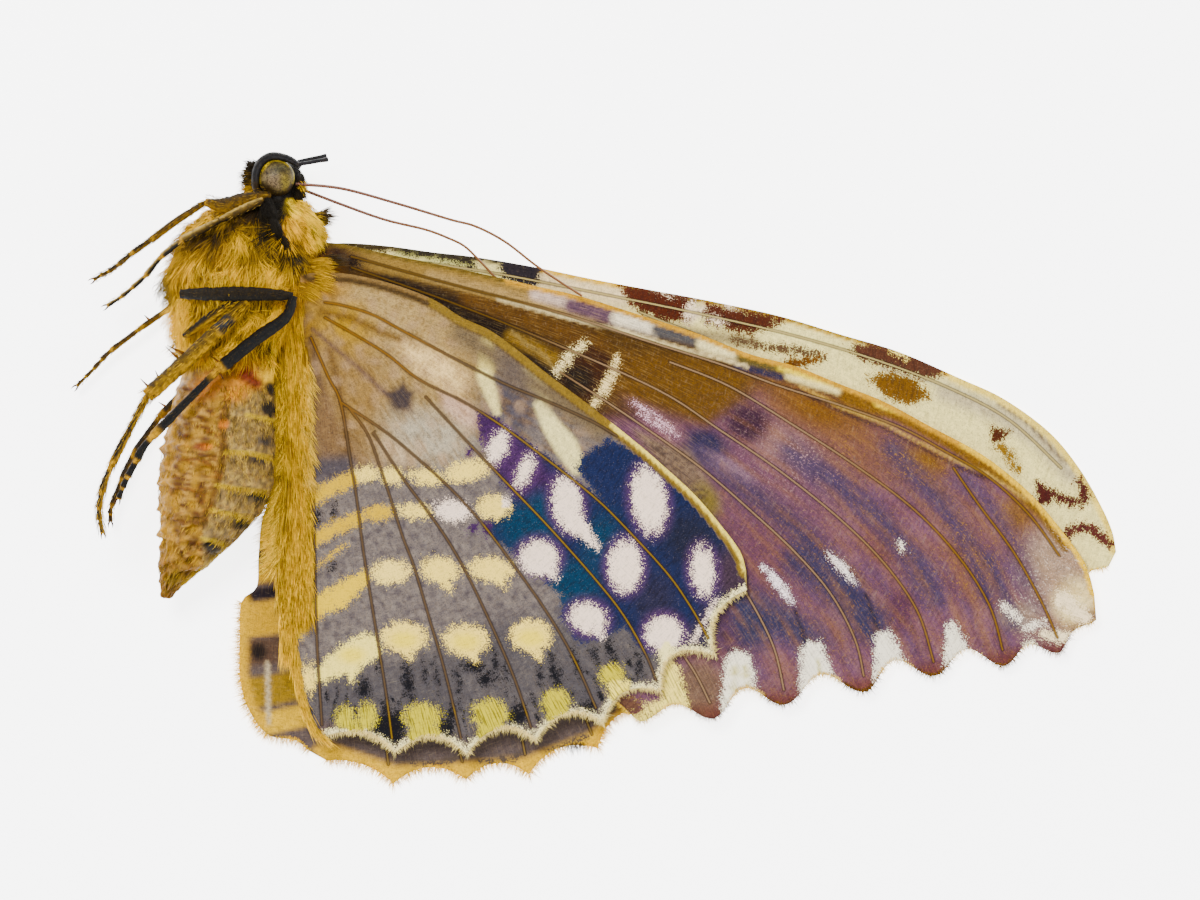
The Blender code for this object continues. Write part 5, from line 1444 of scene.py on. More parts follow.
# Which shares of the hairs are much darker and much lighter, and how the painted shade at a hair's root is
# warmed.
DARK_HAIRS = 0.16
LIGHT_HAIRS = 0.10
WARM_ROOT_SHADE = (1.0, 0.84, 0.70)

# How bright hairs are for the skin under them: the range, each kind's share, and their own tint.
HAIR_RANGE = (0.75, 1.45)
DARK_SHARE, PLAIN_SHARE, LIGHT_SHARE = 0.42, 1.12, 1.6
HAIR_TINT = (1.03, 0.95, 0.6)

# How far rich hair colours are drawn to one golden hue, and how much green that has for its red.
GOLDEN_PULL = 0.5
GOLDEN_GREEN = 0.64
RICH_FROM, RICH_TO = 0.75, 0.95
LIGHTEST_HAIR = 0.9

# Fur lies in locks: how large they are, how many kinds there are, and how far they turn apart.
LOCK_SIZE = 11.0
LOCK_KINDS = 997
LOCK_TURN = 0.22

# Where a tuft's spine has its four places, how wide the three-sided rings at the first three are,
# how far a tuft's corners spread on the unwrap, and how many tufts one piece holds at most.
SPINE_SHARES = (0.0, 0.33, 0.68, 1.0)
STRAND_SHARES = (0.6, 1.0, 0.62)
STRAND_SPREAD = 0.0028
STRANDS_PER_PIECE = 12000


def strands(name, spines, outs, widths, colours, spots, material, slot, *nodes):
    """Closed tapering tufts along spines of four places, coloured at root, middle and tip."""
    along = np.gradient(spines, axis=1)
    along /= np.maximum(np.linalg.norm(along, axis=2, keepdims=True), 1e-12)
    side = np.cross(along, outs[:, None, :])
    side /= np.maximum(np.linalg.norm(side, axis=2, keepdims=True), 1e-12)
    up = np.cross(side, along)
    rings = []
    for number, share in enumerate(STRAND_SHARES):
        half = (widths * share / 2)[:, None]
        rings.extend((
            spines[:, number] + side[:, number] * half, spines[:, number] - side[:, number] * half,
            spines[:, number] + up[:, number] * half * 1.1,
        ))
    points = np.stack(rings + [spines[:, 3]], axis=1)
    tints = np.stack([colours[:, 0]] * 3 + [colours[:, 1]] * 3 + [colours[:, 2]] * 4, axis=1)
    steps = np.array([(corner, ring) for ring in range(3) for corner in range(3)] + [(1, 3)]) / 3
    places = spots[:, None, :] + (steps[None] - 0.5) * STRAND_SPREAD
    faces = [(2, 1, 0)]
    for ring in (0, 3):
        for corner in range(3):
            other = (corner + 1) % 3
            faces.append((ring + corner, ring + other, ring + 3 + other))
            faces.append((ring + corner, ring + 3 + other, ring + 3 + corner))
    faces.extend((6 + corner, 6 + (corner + 1) % 3, 9) for corner in range(3))
    faces = np.array(faces)
    for number, first in enumerate(range(0, len(spines), STRANDS_PER_PIECE)):
        chosen = slice(first, min(first + STRANDS_PER_PIECE, len(spines)))
        count = chosen.stop - chosen.start
        every = (faces[None] + np.arange(count)[:, None, None] * 10).reshape(-1, 3)
        made = new_object(
            f"{name}_{number + 1}", points[chosen].reshape(-1, 3), every, material,
            {"tint": tints[chosen].reshape(-1, 3)},
        )
        add_unwrap(made, places[chosen].reshape(-1, 2))
        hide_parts(*nodes)


def strand_colours(colours, source, dark, light):
    """Root, middle and tip colours of tufts, each a little lighter or darker than its neighbours. The root
    is darkened as painted shade deep in the coat.
    """
    share = source.uniform(*HAIR_RANGE, (len(colours), 1))
    kind = source.uniform(0, 1, (len(colours), 1))
    others = np.where(kind > 1 - LIGHT_HAIRS, LIGHT_SHARE, PLAIN_SHARE)
    share *= np.where(kind < DARK_HAIRS, DARK_SHARE, others)
    own = share * colours * HAIR_TINT
    rich = smooth(1 - own[:, 2] / np.maximum(own[:, 0], 1e-6), RICH_FROM, RICH_TO) * GOLDEN_PULL
    own[:, 1] = own[:, 1] * (1 - rich) + own[:, 0] * GOLDEN_GREEN * rich
    # Roots darkened as painted shade deep in the coat, tips lightened.
    every = np.stack((own * dark * WARM_ROOT_SHADE, own, own * light), axis=1)
    return every * np.minimum(1.0, LIGHTEST_HAIR / np.maximum(every.max(axis=2, keepdims=True), 1e-6))


# How many tufts are drawn for each part of the body.
THORAX_TUFTS = 41000
EDGE_TUFTS = 2600
ABDOMEN_TUFTS = 12000
HEAD_TUFTS = 3000


def body_fur(name, rows, angles, lengths, leans, lifts, widths, source, gather, material, slot, node,
             contrast=0.3, last_row=600):
    """Tufts that follow the skin down the body, each gathered towards its clump's middle."""
    number = np.floor(rows / LOCK_SIZE)
    shift = 0.5 * (number % 2)
    middle_row = (number + 0.5) * LOCK_SIZE
    radius = np.maximum(np.interp(rows, BODY_ROWS, (BODY_COLUMNS[1] - BODY_COLUMNS[0]) / 2), 4)
    turn = np.degrees(LOCK_SIZE / radius)
    middle_angle = (np.floor(angles / turn + shift) + 0.5) * turn - shift * turn
    lock = (number * 61 + np.floor(angles / turn) * 17).astype(int) % LOCK_KINDS
    looks = np.random.default_rng(SEED + 9).uniform(-1, 1, (2, LOCK_KINDS))
    leans = leans + looks[0][lock] * LOCK_TURN
    lifts = lifts * (1 + 0.5 * looks[1][lock])
    spines = []
    for share in SPINE_SHARES:
        row = rows + lengths * np.cos(leans) * share + (middle_row - rows) * gather * share ** 1.5
        angle = angles - np.degrees(lengths * np.sin(leans) / radius) * share
        angle += (middle_angle - angles) * gather * share ** 1.5
        rise = lifts * (1 - (1 - share) ** 2) - 0.00012 * (share == 0.0)
        held = np.minimum(row, last_row)
        point, _, _ = skin_at(held, angle, rise)
        point[:, 1] -= (row - held) * GRID
        spines.append(point)
    spines = np.stack(spines, axis=1)
    _, outs, flat = skin_at(rows, angles)
    spines[..., 2] = np.maximum(spines[..., 2], LOWEST + widths[:, None])
    patches = 0.9 * looks[1][lock] + 0.5 * cloud(flat, 17.0, 52) + 0.4 * cloud(flat, 6.0, 51)
    shade = np.clip(1.05 + contrast * patches, 0.10, 1.6)
    colours = strand_colours(paint_body(flat).colours * shade[:, None], source, 0.35, 1.3)
    strands(name, spines, outs, widths, colours, unwrap(rows, angles), material, slot, node)


def fur():
    """All the fur of head, thorax and abdomen."""
    source = np.random.default_rng(SEED)
    hair = fur_material()

    # Long locks over the thorax, drawn outward at the collar.
    count = THORAX_TUFTS
    rows, angles = source.uniform(203, 354, count), source.uniform(-180, 180, count)
    keep = (rows < 240) | (np.abs(angles) > 40)
    rows, angles = rows[keep], angles[keep]
    flat = skin_at(rows, angles)[2]
    lengths = source.uniform(15, 30, len(rows)) * (0.55 + 0.45 * smooth(rows, 205, 245))
    lengths *= 1 - 0.55 * smooth(spot(flat, 168, 286, 20, 60), -4, 4)
    swirl = cloud(flat, 34, 17) * 0.75 + cloud(flat, 14, 18) * 0.3
    leans = swirl + source.normal(0, 0.14, len(rows))
    collar = smooth(flat[:, 0], 284, 300) * smooth(262 - flat[:, 1], 0, 12)
    leans = leans * (1 - collar) + collar * (0.75 + source.normal(0, 0.2, len(rows)))
    lifts = source.uniform(0.00025, 0.0011, len(rows)) * (0.5 + 0.5 * smooth(rows, 204, 232))
    widths = source.uniform(0.00007, 0.00013, len(rows))
    body_fur("thorax_fur", rows, angles, lengths, leans, lifts, widths, source, 0.7, hair, "body_coat",
             "thorax", 0.7, 350)

    # Loose hairs that stand off along the thorax's belly edge.
    count = EDGE_TUFTS
    rows, angles = source.uniform(222, 350, count), source.normal(180, 13, count)
    lengths = source.uniform(8, 20, count)
    leans = source.normal(0.1, 0.5, count)
    lifts = source.uniform(0.0006, 0.0022, count)
    widths = source.uniform(0.00005, 0.00009, count)
    body_fur("thorax_edge_fur", rows, angles, lengths, leans, lifts, widths, source, 0.55, hair,
             "body_coat", "thorax", 0.5, 356)

    # Short hair on the abdomen, thinner on its belly side.
    count = ABDOMEN_TUFTS
    rows, angles = source.uniform(384, 592, count), source.uniform(-180, 180, count)
    flat = skin_at(rows, angles)[2]
    keep = source.uniform(0, 1, count) < 0.3 + 0.7 * smooth(flat[:, 0], 214, 232)
    rows, angles = rows[keep], angles[keep]
    lengths = source.uniform(4, 9, len(rows))
    leans = source.normal(0, 0.25, len(rows))
    lifts = source.uniform(0.00004, 0.00022, len(rows))
    widths = source.uniform(0.00006, 0.0001, len(rows))
    body_fur("abdomen_fur", rows, angles, lengths, leans, lifts, widths, source, 0.15, hair, "abdomen_skin",
             "abdomen")

    # Short hair on the head.
    count = HEAD_TUFTS
    rows, angles = source.uniform(162, 204, count), source.uniform(-180, 180, count)
    lengths = source.uniform(4, 8, count)
    lifts = source.uniform(0.0001, 0.0004, count)
    widths = source.uniform(0.00005, 0.00008, count)
    leans = source.normal(0, 0.4, count)
    body_fur("head_fur", rows, angles, lengths, leans, lifts, widths, source, 0.3, hair, "body_coat", "head")
    return hair


# Single tufts of head and shoulders: root x and y, level, reach right and down, rise, hairs, spread
# and colour.
TUFTS = [
    (256, 187, 0.0100, -11, 4, 0.0, 520, 9.0, (198, 142, 10)),
    (256, 178, 0.0102, -11, 1, 0.0, 420, 9.0, (120, 84, 16)),
    (256, 170, 0.0102, -8, -2, 0.0002, 420, 8.0, (30, 24, 14)),
    (256, 193, 0.0098, -9, 8, 0.0, 300, 6.0, (214, 158, 14)),
    (252, 180, 0.0102, -8, 2, 0.0003, 120, 9.0, (34, 26, 12)),
    (316, 217, 0.0108, 20, -1, 0.0, 130, 5.0, (64, 46, 12)),
    (316, 221, 0.0108, 17, 4, 0.0, 110, 4.0, (110, 84, 20)),
    (319, 216, 0.0104, 13, -6, 0.0003, 44, 2.4, (50, 36, 12)),
    (318, 220, 0.0110, 20, -4, 0.0003, 26, 3.0, (40, 30, 10)),
    (312, 218, 0.0110, 13, 3, 0.0, 200, 7.0, (206, 164, 34)),
    (299, 179, 0.0106, 5, 10, 0.0002, 300, 7.0, (20, 17, 10)),
    (300, 190, 0.0102, 4, 9, 0.0002, 300, 7.0, (26, 22, 12)),
    (301, 186, 0.0108, 5, 6, 0.0003, 46, 6.0, (216, 170, 20)),
    (298, 198, 0.0100, 4, 5, 0.0, 200, 6.0, (40, 32, 12)),
    (312, 268, 0.0128, 20, 2, -0.0002, 420, 12.0, (200, 146, 26)),
    (314, 280, 0.0134, 18, 5, -0.0004, 420, 12.0, (206, 152, 30)),
    (306, 290, 0.0140, 14, 8, -0.0006, 300, 10.0, (206, 152, 30)),
    (326, 262, 0.0118, 22, -1, -0.0002, 160, 8.0, (56, 38, 12)),
    (306, 218, 0.0122, 15, 14, 0.0002, 420, 9.0, (238, 206, 76)),
    (316, 230, 0.0108, 12, 9, 0.0, 300, 8.0, (224, 194, 84)),
    (301, 206, 0.0112, 13, 8, 0.0002, 340, 7.0, (244, 206, 30)),
    (293, 226, 0.0138, 8, 14, 0.0002, 420, 6.0, (240, 168, 4)),
    (267, 205, 0.0140, 7, 22, 0.0008, 520, 9.0, (18, 16, 12)),
    (275, 224, 0.0155, 9, 18, 0.0, 420, 6.0, (20, 18, 12)),
    (284, 240, 0.0152, 8, 12, -0.0002, 160, 4.0, (30, 24, 14)),
    (312, 226, 0.0122, 6, 12, 0.0002, 70, 6.0, (52, 40, 16)),
    (218, 282, 0.0163, 3, 17, 0.0005, 90, 20.0, (214, 172, 60)),
    (236, 282, 0.0165, -3, 15, 0.0006, 60, 20.0, (214, 172, 60)),
    (198, 287, 0.0140, 1, 14, 0.0016, 40, 8.0, (180, 136, 30)),
    (281, 334, 0.0100, 5, 20, -0.0006, 240, 8.0, (222, 172, 50)),
    (262, 282, 0.0166, -2, 15, 0.0006, 26, 16.0, (200, 160, 60)),
    (186, 336, 0.0085, -15, 10, 0.0, 140, 12.0, (206, 166, 60)),
    (188, 350, 0.0080, -16, 8, 0.0, 110, 8.0, (176, 136, 40)),
]


# How far the roots of a tuft scatter in level.
TUFT_SCATTER = 0.00024
# The farthest that a root lies from its tuft's middle, as a share of the tuft's spread.
TUFT_REACH = 0.7


def tufts(hair):
    """The single tufts."""
    source = np.random.default_rng(SEED + 1)
    spines, outs, widths, colours, spots = [], [], [], [], []
    for x, y, level, right, down, rise, count, spread, colour in TUFTS:
        roots = source.normal(x, spread / 3, count), source.normal(y, spread / 2.4, count)
        start = np.stack(roots, axis=1)
        middle, farthest = np.array((x, y)), TUFT_REACH * spread
        start = np.clip(start, middle - farthest, middle + farthest)
        levels = level + source.normal(0, min(spread * GRID / 2.4, TUFT_SCATTER), count)
        size = source.uniform(0.55, 1.15, (count, 1))
        reach = np.array((right, down)) * size + source.normal(0, 1.6, (count, 2))
        lines = []
        for share in SPINE_SHARES:
            bend = np.array((0.0, 3.0)) * (share ** 2 - share)
            lines.append(place(start + reach * share + bend, levels + rise * share))
        spines.append(np.stack(lines, axis=1))
        outs.append(np.tile((0.0, 0.0, 1.0), (count, 1)))
        widths.append(source.uniform(0.00006, 0.00010, count))
        base = np.tile(np.array(tone(*colour)), (count, 1))
        colours.append(strand_colours(base, source, 0.5, 1.2))
        spots.append(unwrap(start[:, 1], np.full(count, 90.0) + source.normal(0, 6, count)))
    strands("tufts", np.concatenate(spines), np.concatenate(outs), np.concatenate(widths),
            np.concatenate(colours), np.concatenate(spots), hair, "body_coat", "head", "thorax")


# Fur along the upper hindwing's inner margin: rows, root columns, lean, length, hairs and colour.
BAND = [
    (345, 600, 276, 290, (-0.10, 0.08), (18, 34), 2600, (196, 148, 20)),
    (345, 600, 288, 308, (-0.05, 0.16), (20, 40), 5600, (226, 166, 32)),
    (360, 480, 298, 310, (0.25, 0.7), (10, 24), 1100, (250, 220, 140)),
    (480, 580, 300, 310, (0.2, 0.5), (10, 22), 500, (232, 190, 80)),
    (400, 560, 278, 288, (-1.2, -0.35), (14, 34), 2300, (255, 224, 128)),
    (360, 430, 280, 290, (-0.7, -0.2), (10, 20), 600, (216, 176, 40)),
    (520, 612, 286, 312, (-0.22, 0.22), (14, 28), 2000, (238, 186, 50)),
    (590, 655, 280, 296, (-0.15, 0.2), (12, 24), 900, (230, 176, 24)),
    (300, 350, 286, 304, (-0.1, 0.2), (12, 24), 900, (230, 172, 14)),
]
# The height and width of all that fur on its unwrap.
BAND_HEIGHT = 0.07
BAND_WIDTH = 0.03
# The line of the hair that lies along the margin's own edge, and how many hairs it has.
MARGIN_HAIRS = 1500
MARGIN_BAND = [(289, 600), (291, 630), (294, 655), (298, 682), (304, 706), (312, 726), (322, 738)]


def wing_tufts(start, reach, lifts, widths, tint, wing="wing_hind_left"):
    """Spines, outward directions, widths and colours of tufts that lie on a wing along plan reaches."""
    lines = []
    for share in SPINE_SHARES:
        flat = start + reach * share
        rise = lifts * (1 - (1 - share) ** 2) + MEMBRANE_TOP - 0.00006 * (share == 0.0)
        lines.append(place(flat, wing_level(wing, flat[:, 0], flat[:, 1]) + rise))
    return np.stack(lines, axis=1), np.tile((0.0, 0.0, 1.0), (len(start), 1)), widths, tint


# Where each wing's strip of the unwrap starts.
STRIP_STARTS = {
    "wing_hind_left": 0.02,
    "wing_fore_left": 0.27,
    "wing_fore_right": 0.52,
    "wing_hind_right": 0.77,
}


def margin_unwrap(start, line, wing):
    """Places of wing tufts on a strip unrolled along a line."""
    distance, where = away(start, line)
    up = STRIP_STARTS[wing] + np.clip(distance / 80, 0, 1) * 0.2
    return np.stack((where / (len(line) - 1) * 0.94 + 0.03, up), axis=1)


def band(hair):
    """The fur of the upper hindwing's inner margin."""
    source = np.random.default_rng(SEED + 2)
    parts = []
    for top, bottom, left, right, leans, lengths, count, colour in BAND:
        y, x = source.uniform(top, bottom, count), source.uniform(left, right, count)
        start = np.stack((x, y), axis=1)
        lean = source.uniform(*leans, count) + cloud(start, 30, 41) * 0.1
        length = source.uniform(*lengths, count)
        reach = np.stack((np.sin(lean), np.cos(lean)), axis=1) * length[:, None]
        base = Paint(start, colour)
        base.over(cloud(start * (1.0, 0.3), 7, 43) * 3 - 1, (132, 86, 12), 2, 0.8)
        base.over(cloud(start * (1.0, 0.35), 8, 44) * 3 - 1.4, (250, 206, 84), 2, 0.7)
        # Painted shade darkens the hairs at the band's inner edge.
        base.over(only(y < 560, 279 - x), (60, 50, 20), 3, 0.4)
        tint = strand_colours(base.colours, source, 0.5, 1.25)
        lifts = source.uniform(0.0001, 0.0010, count)
        parts.append(wing_tufts(start, reach, lifts, source.uniform(0.00007, 0.00012, count), tint))
    count = MARGIN_HAIRS
    line = curved(MARGIN_BAND, 2.0)
    index = source.integers(0, len(line) - 1, count)
    start = line[index] + source.normal(0, 2.0, (count, 2))
    along = line[index + 1] - line[index]
    reach = along / np.hypot(*along.T)[:, None] * source.uniform(10, 20, (count, 1))
    reach = reach + source.normal(0, 1.6, (count, 2))
    tint = strand_colours(np.tile(np.array(tone(228, 180, 60)), (count, 1)), source, 0.6, 1.2)
    lifts = source.uniform(0.0001, 0.0006, count)
    parts.append(wing_tufts(start, reach, lifts, source.uniform(0.00006, 0.0001, count), tint))
    joined = [np.concatenate(group) for group in zip(*parts)]
    across, up = (joined[0][:, 0, :2] - joined[0][:, 0, :2].min(axis=0)).T
    spots = np.stack((0.03 + 0.9 * up / BAND_HEIGHT, 0.02 + across / BAND_WIDTH), axis=1) % 1.0
    strands("band_fur", *joined, spots, hair, "wing_scales", "wing_hind_left")


# Fringes: wing, its margin's vein ends, scallops and shape, hairs, lengths and colour.
FRINGES = [
    ("wing_hind_left", HIND_TEETH, HIND_SCALLOPS, True, 3600, (2, 6), (255, 242, 196)),
    ("wing_fore_left", FORE_LOBES, FORE_NOTCHES, False, 3200, (2, 6), (244, 222, 164)),
    ("wing_fore_right", FAR_FORE_LOBES, FORE_NOTCHES, False, 2200, (2, 5), (246, 214, 110)),
    ("wing_hind_right", FAR_HIND_TEETH, FAR_HIND_SCALLOPS, True, 4200, (4, 9), (244, 196, 30)),
]


def fringes(hair):
    """The fringe of each wing's outer margin."""
    source = np.random.default_rng(SEED + 3)
    for wing, ends, depths, pointed, count, lengths, colour in FRINGES:
        line = margin(ends, depths, pointed, 2.0)
        if wing == "wing_hind_right":
            line = np.vstack((line, curved(FAR_HIND_INNER[:8], 2.0)))
        index = source.integers(1, len(line) - 1, count)
        along = line[index + 1] - line[index - 1]
        along /= np.hypot(*along.T)[:, None]
        outward = np.stack((along[:, 1], -along[:, 0]), axis=1)
        start = line[index] - outward * source.uniform(0, 4, (count, 1))
        start = start + along * source.uniform(-1, 1, (count, 1))
        aim = outward + source.normal(0, 0.3, (count, 2)) + np.array((0.0, 0.15))
        reach = aim * source.uniform(*lengths, (count, 1))
        base = Paint(start, colour)
        if wing == "wing_fore_left":
            tips = np.array(ends[1:-2], float)
            near = np.min(np.hypot(*(start[:, None] - tips[None]).transpose(2, 0, 1)), axis=1)
            base.over(24 - near, (134, 76, 44), 4)
            base.over(640 - start[:, 0], (240, 214, 120), 10)
        if wing == "wing_hind_right":
            for x, y in ((406, 757), (514, 748), (574, 738)):
                base.over(spot(start, x, y, 26, 26), (90, 74, 60), 5)
        tint = strand_colours(base.colours, source, 0.95, 1.05)
        lifts = source.uniform(-0.00010, 0.00005, count)
        widths = source.uniform(0.00004, 0.00007, count)
        spines, *looks = wing_tufts(start, reach, lifts, widths, tint, wing)
        spines[..., 2] = np.maximum(spines[..., 2], LOWEST)
        spots = margin_unwrap(start, line, wing)
        strands("fringe_" + wing[5:], spines, *looks, spots, hair, "wing_scales", wing)


def tube(path, radii, sides=12, flat=1.0):
    """A closed round limb along places, flattened towards the viewer.

    Its points and faces, and for each point how far along it lies and how far to the side.
    """
    path, radii = np.asarray(path, float), np.asarray(radii, float)
    along = np.gradient(path, axis=0)
    along /= np.linalg.norm(along, axis=1, keepdims=True)
    side = np.cross(along, (0.0, 0.0, 1.0))
    side /= np.maximum(np.linalg.norm(side, axis=1, keepdims=True), 1e-9)
    up = np.cross(side, along)
    turn = np.arange(sides) * 2 * math.pi / sides
    ring = side[:, None] * np.cos(turn)[None, :, None] + up[:, None] * np.sin(turn)[None, :, None] * flat
    points = path[:, None] + ring * radii[:, None, None]
    index = np.arange(sides)
    other = (index + 1) % sides
    start = np.arange(len(path) - 1)[:, None] * sides
    a, b = start + index, start + other
    quads = np.stack((a, b, b + sides, a + sides), axis=-1).reshape(-1, 4)
    first, last = len(path) * sides, len(path) * sides + 1
    end = (len(path) - 1) * sides
    faces = np.concatenate((
        quads[:, [0, 1, 2]], quads[:, [0, 2, 3]],
        np.stack((other, index, np.full(sides, first)), axis=1),
        np.stack((end + index, end + other, np.full(sides, last)), axis=1),
    ))
    every = np.concatenate((points.reshape(-1, 3), path[:1], path[-1:]))
    share = np.concatenate((np.repeat(np.arange(len(path)) / (len(path) - 1), sides), (0.0, 1.0)))
    across = np.concatenate((np.tile(np.cos(turn), len(path)), (0.0, 0.0)))
    return every, faces, share, across


def join(parts):
    """Points, faces and colours of several shapes as one."""
    points, faces, colours, count = [], [], [], 0
    for part_points, part_faces, part_colours in parts:
        points.append(part_points)
        faces.append(part_faces + count)
        colours.append(part_colours)
        count += len(part_points)
    return np.concatenate(points), np.concatenate(faces), np.concatenate(colours)


def horn_material(name, rough, scales):
    """Hard skin of legs and mouth parts, with scales and pits."""
    s = Surface(name)
    here = s.object_place()
    grain = s.noise(here, 5200.0, 3.0, 0.7)
    coarse = s.noise(here, 1500.0, 2.0, 0.6)
    painted = s.mix(s.step(grain, 0.52, 0.68, 0.0, scales), s.colour("tint"), (180, 140, 70))
    painted = s.mix(s.step(coarse, 0.35, 0.6, 0.55, 0.0), painted, (12, 10, 10))
    return s.finish(
        Base_Color=painted, Roughness=s.step(coarse, 0.3, 0.7, rough - 0.1, rough + 0.15),
        Specular_IOR_Level=0.07, Normal=s.bump(s.math("ADD", grain, coarse), 0.9, 0.00016),
    )


# The thigh, shin and foot of each leg: plan x, plan y and level.
LEGS = {
    "fore_left": (
        [
            (272, 196, 0.0132), (260, 197.5, 0.0138), (242, 203, 0.0141), (227, 207, 0.0141),
            (207, 203.5, 0.0138),
        ],
        [(208, 203.5, 0.0138), (180, 221, 0.0128), (154, 240, 0.0116)],
        [
            (154, 240, 0.0116), (133.5, 254, 0.0106), (120, 265, 0.0098), (110, 272, 0.0093),
            (102, 276, 0.0090), (95, 280, 0.0086),
        ],
    ),
    "fore_right": (
        [(265, 201, 0.0146), (242, 212, 0.0150), (221, 222, 0.0150)],
        [(221, 222, 0.0150), (204, 231, 0.0149), (184, 241, 0.0132)],
        [
            (184, 241, 0.0132), (163, 257, 0.0100), (146.5, 276, 0.0085), (133, 288, 0.0075),
            (122, 297, 0.0068), (107.5, 306, 0.0062),
        ],
    ),
    "mid_left": (
        [(183, 295, 0.0150), (215, 295, 0.0166), (255, 295, 0.0174), (295, 297, 0.0169)],
        [(295, 297, 0.0169), (288, 318, 0.0172), (258, 340, 0.0172), (221, 370, 0.0168)],
        [
            (221, 370, 0.0168), (154, 438, 0.0156), (139, 461, 0.0148), (130, 477, 0.0142),
            (125, 488, 0.0138), (121, 499, 0.0134),
        ],
    ),
    "mid_right": (
        [(196, 297, 0.0040), (214, 282, 0.0024), (228, 268, 0.0012)],
        [(228, 268, 0.0012), (184, 298, 0.0018), (139, 329, 0.0024)],
        [
            (139, 329, 0.0024), (110, 351, 0.0022), (101, 360, 0.0020), (93, 369, 0.0019),
            (85, 377, 0.0018), (76, 386, 0.0018),
        ],
    ),
    "hind_left": (
        [(186, 337, 0.0146), (211, 319, 0.0163), (232, 306, 0.0167), (250, 302, 0.0168)],
        [(250, 302, 0.0168), (200, 351, 0.0164), (150, 396, 0.0150)],
        [
            (150, 396, 0.0150), (113, 467, 0.0128), (104, 493, 0.0120), (101, 508, 0.0116),
            (102, 520, 0.0113), (104.5, 533, 0.0110),
        ],
    ),
    "hind_right": (
        [(196, 341, 0.0042), (222, 334, 0.0024), (248, 326, 0.0012)],
        [(248, 326, 0.0012), (204, 371, 0.0014), (159, 417, 0.0022)],
        [
            (159, 417, 0.0022), (133, 455, 0.0026), (121, 481, 0.0026), (111, 507, 0.0024),
            (110, 514, 0.0023), (110, 522, 0.0022),
        ],
    ),
}
# For each leg: half widths of thigh, shin and foot, their colours, the lower edge's and the joints'. On the
# far fore leg that edge colour lies along the upper edge as a painted highlight.
LEG_LOOKS = {
    "fore_left": (
        (0.00128, 0.00052, 0.00046), (108, 80, 30), (116, 84, 30), (44, 34, 16), (176, 128, 24),
        (206, 150, 14),
    ),
    "fore_right": (
        (0.00062, 0.00058, 0.00050), (88, 66, 28), (84, 64, 30), (14, 14, 14), (206, 176, 120),
        (214, 156, 12),
    ),
    "mid_left": (
        (0.00098, 0.00092, 0.00066), (26, 21, 12), (18, 20, 22), (18, 20, 22), (38, 40, 40),
        (216, 156, 12),
    ),
    "mid_right": (
        (0.00045, 0.00043, 0.00043), (50, 36, 12), (90, 68, 22), (80, 58, 20), (176, 134, 26),
        (196, 146, 14),
    ),
    "hind_left": (
        (0.00062, 0.00112, 0.00058), (16, 14, 10), (160, 124, 70), (34, 34, 32), (226, 170, 50),
        (216, 156, 12),
    ),
    "hind_right": (
        (0.00055, 0.00060, 0.00055), (34, 26, 12), (38, 30, 16), (36, 28, 16), (150, 110, 18),
        (186, 134, 14),
    ),
}
# The spurs of the legs: base and tip.
SPURS = {
    "hind_left": [
        ((154, 390), (143, 379)), ((163, 383), (158, 371)), ((184, 362), (168, 347)),
        ((186, 354), (170, 346)),
    ],
    "mid_left": [((226, 366), (214, 357)), ((222, 372), (226, 380))],
    "hind_right": [((168, 408), (158, 402))],
    "mid_right": [((150, 321), (144, 315))],
}
LEG_PARTS = ("thigh", "shin", "foot")
# The thick fore thigh's profile.
THICK_SHARES = (0, 0.2, 0.45, 0.7, 0.85, 1.0)
THICK_PROFILE = (0.3, 0.55, 0.95, 1.0, 0.62, 0.42)
LEG_SIDES = 14
# How many bristles each leg has.
LEG_HAIRS = {
    "fore_left": 1500,
    "fore_right": 350,
    "mid_left": 700,
    "mid_right": 500,
    "hind_left": 2600,
    "hind_right": 900,
}


def leg_profile(name, kind, share, where):
    """How thick a part of a leg is at shares of its length; where counts a foot's joints."""
    if kind == "shin":
        return 0.72 + 0.28 * smooth(share, 0.0, 0.5) - 0.12 * smooth(share, 0.93, 1.0)
    if kind == "foot":
        along = where % 1.0
        profile = 0.80 + 0.26 * smooth(along, 0.25, 0.92) - 0.30 * smooth(along, 0.95, 1.0)
        profile *= 1 - where * 0.085
        profile[-1] = 0.3
        return profile
    if name == "fore_left":
        return np.interp(share, THICK_SHARES, THICK_PROFILE)
    return 0.62 + 0.42 * np.sin(math.pi * np.clip(share * 1.05, 0, 1)) ** 0.8 - 0.10 * smooth(share, 0.85, 1)


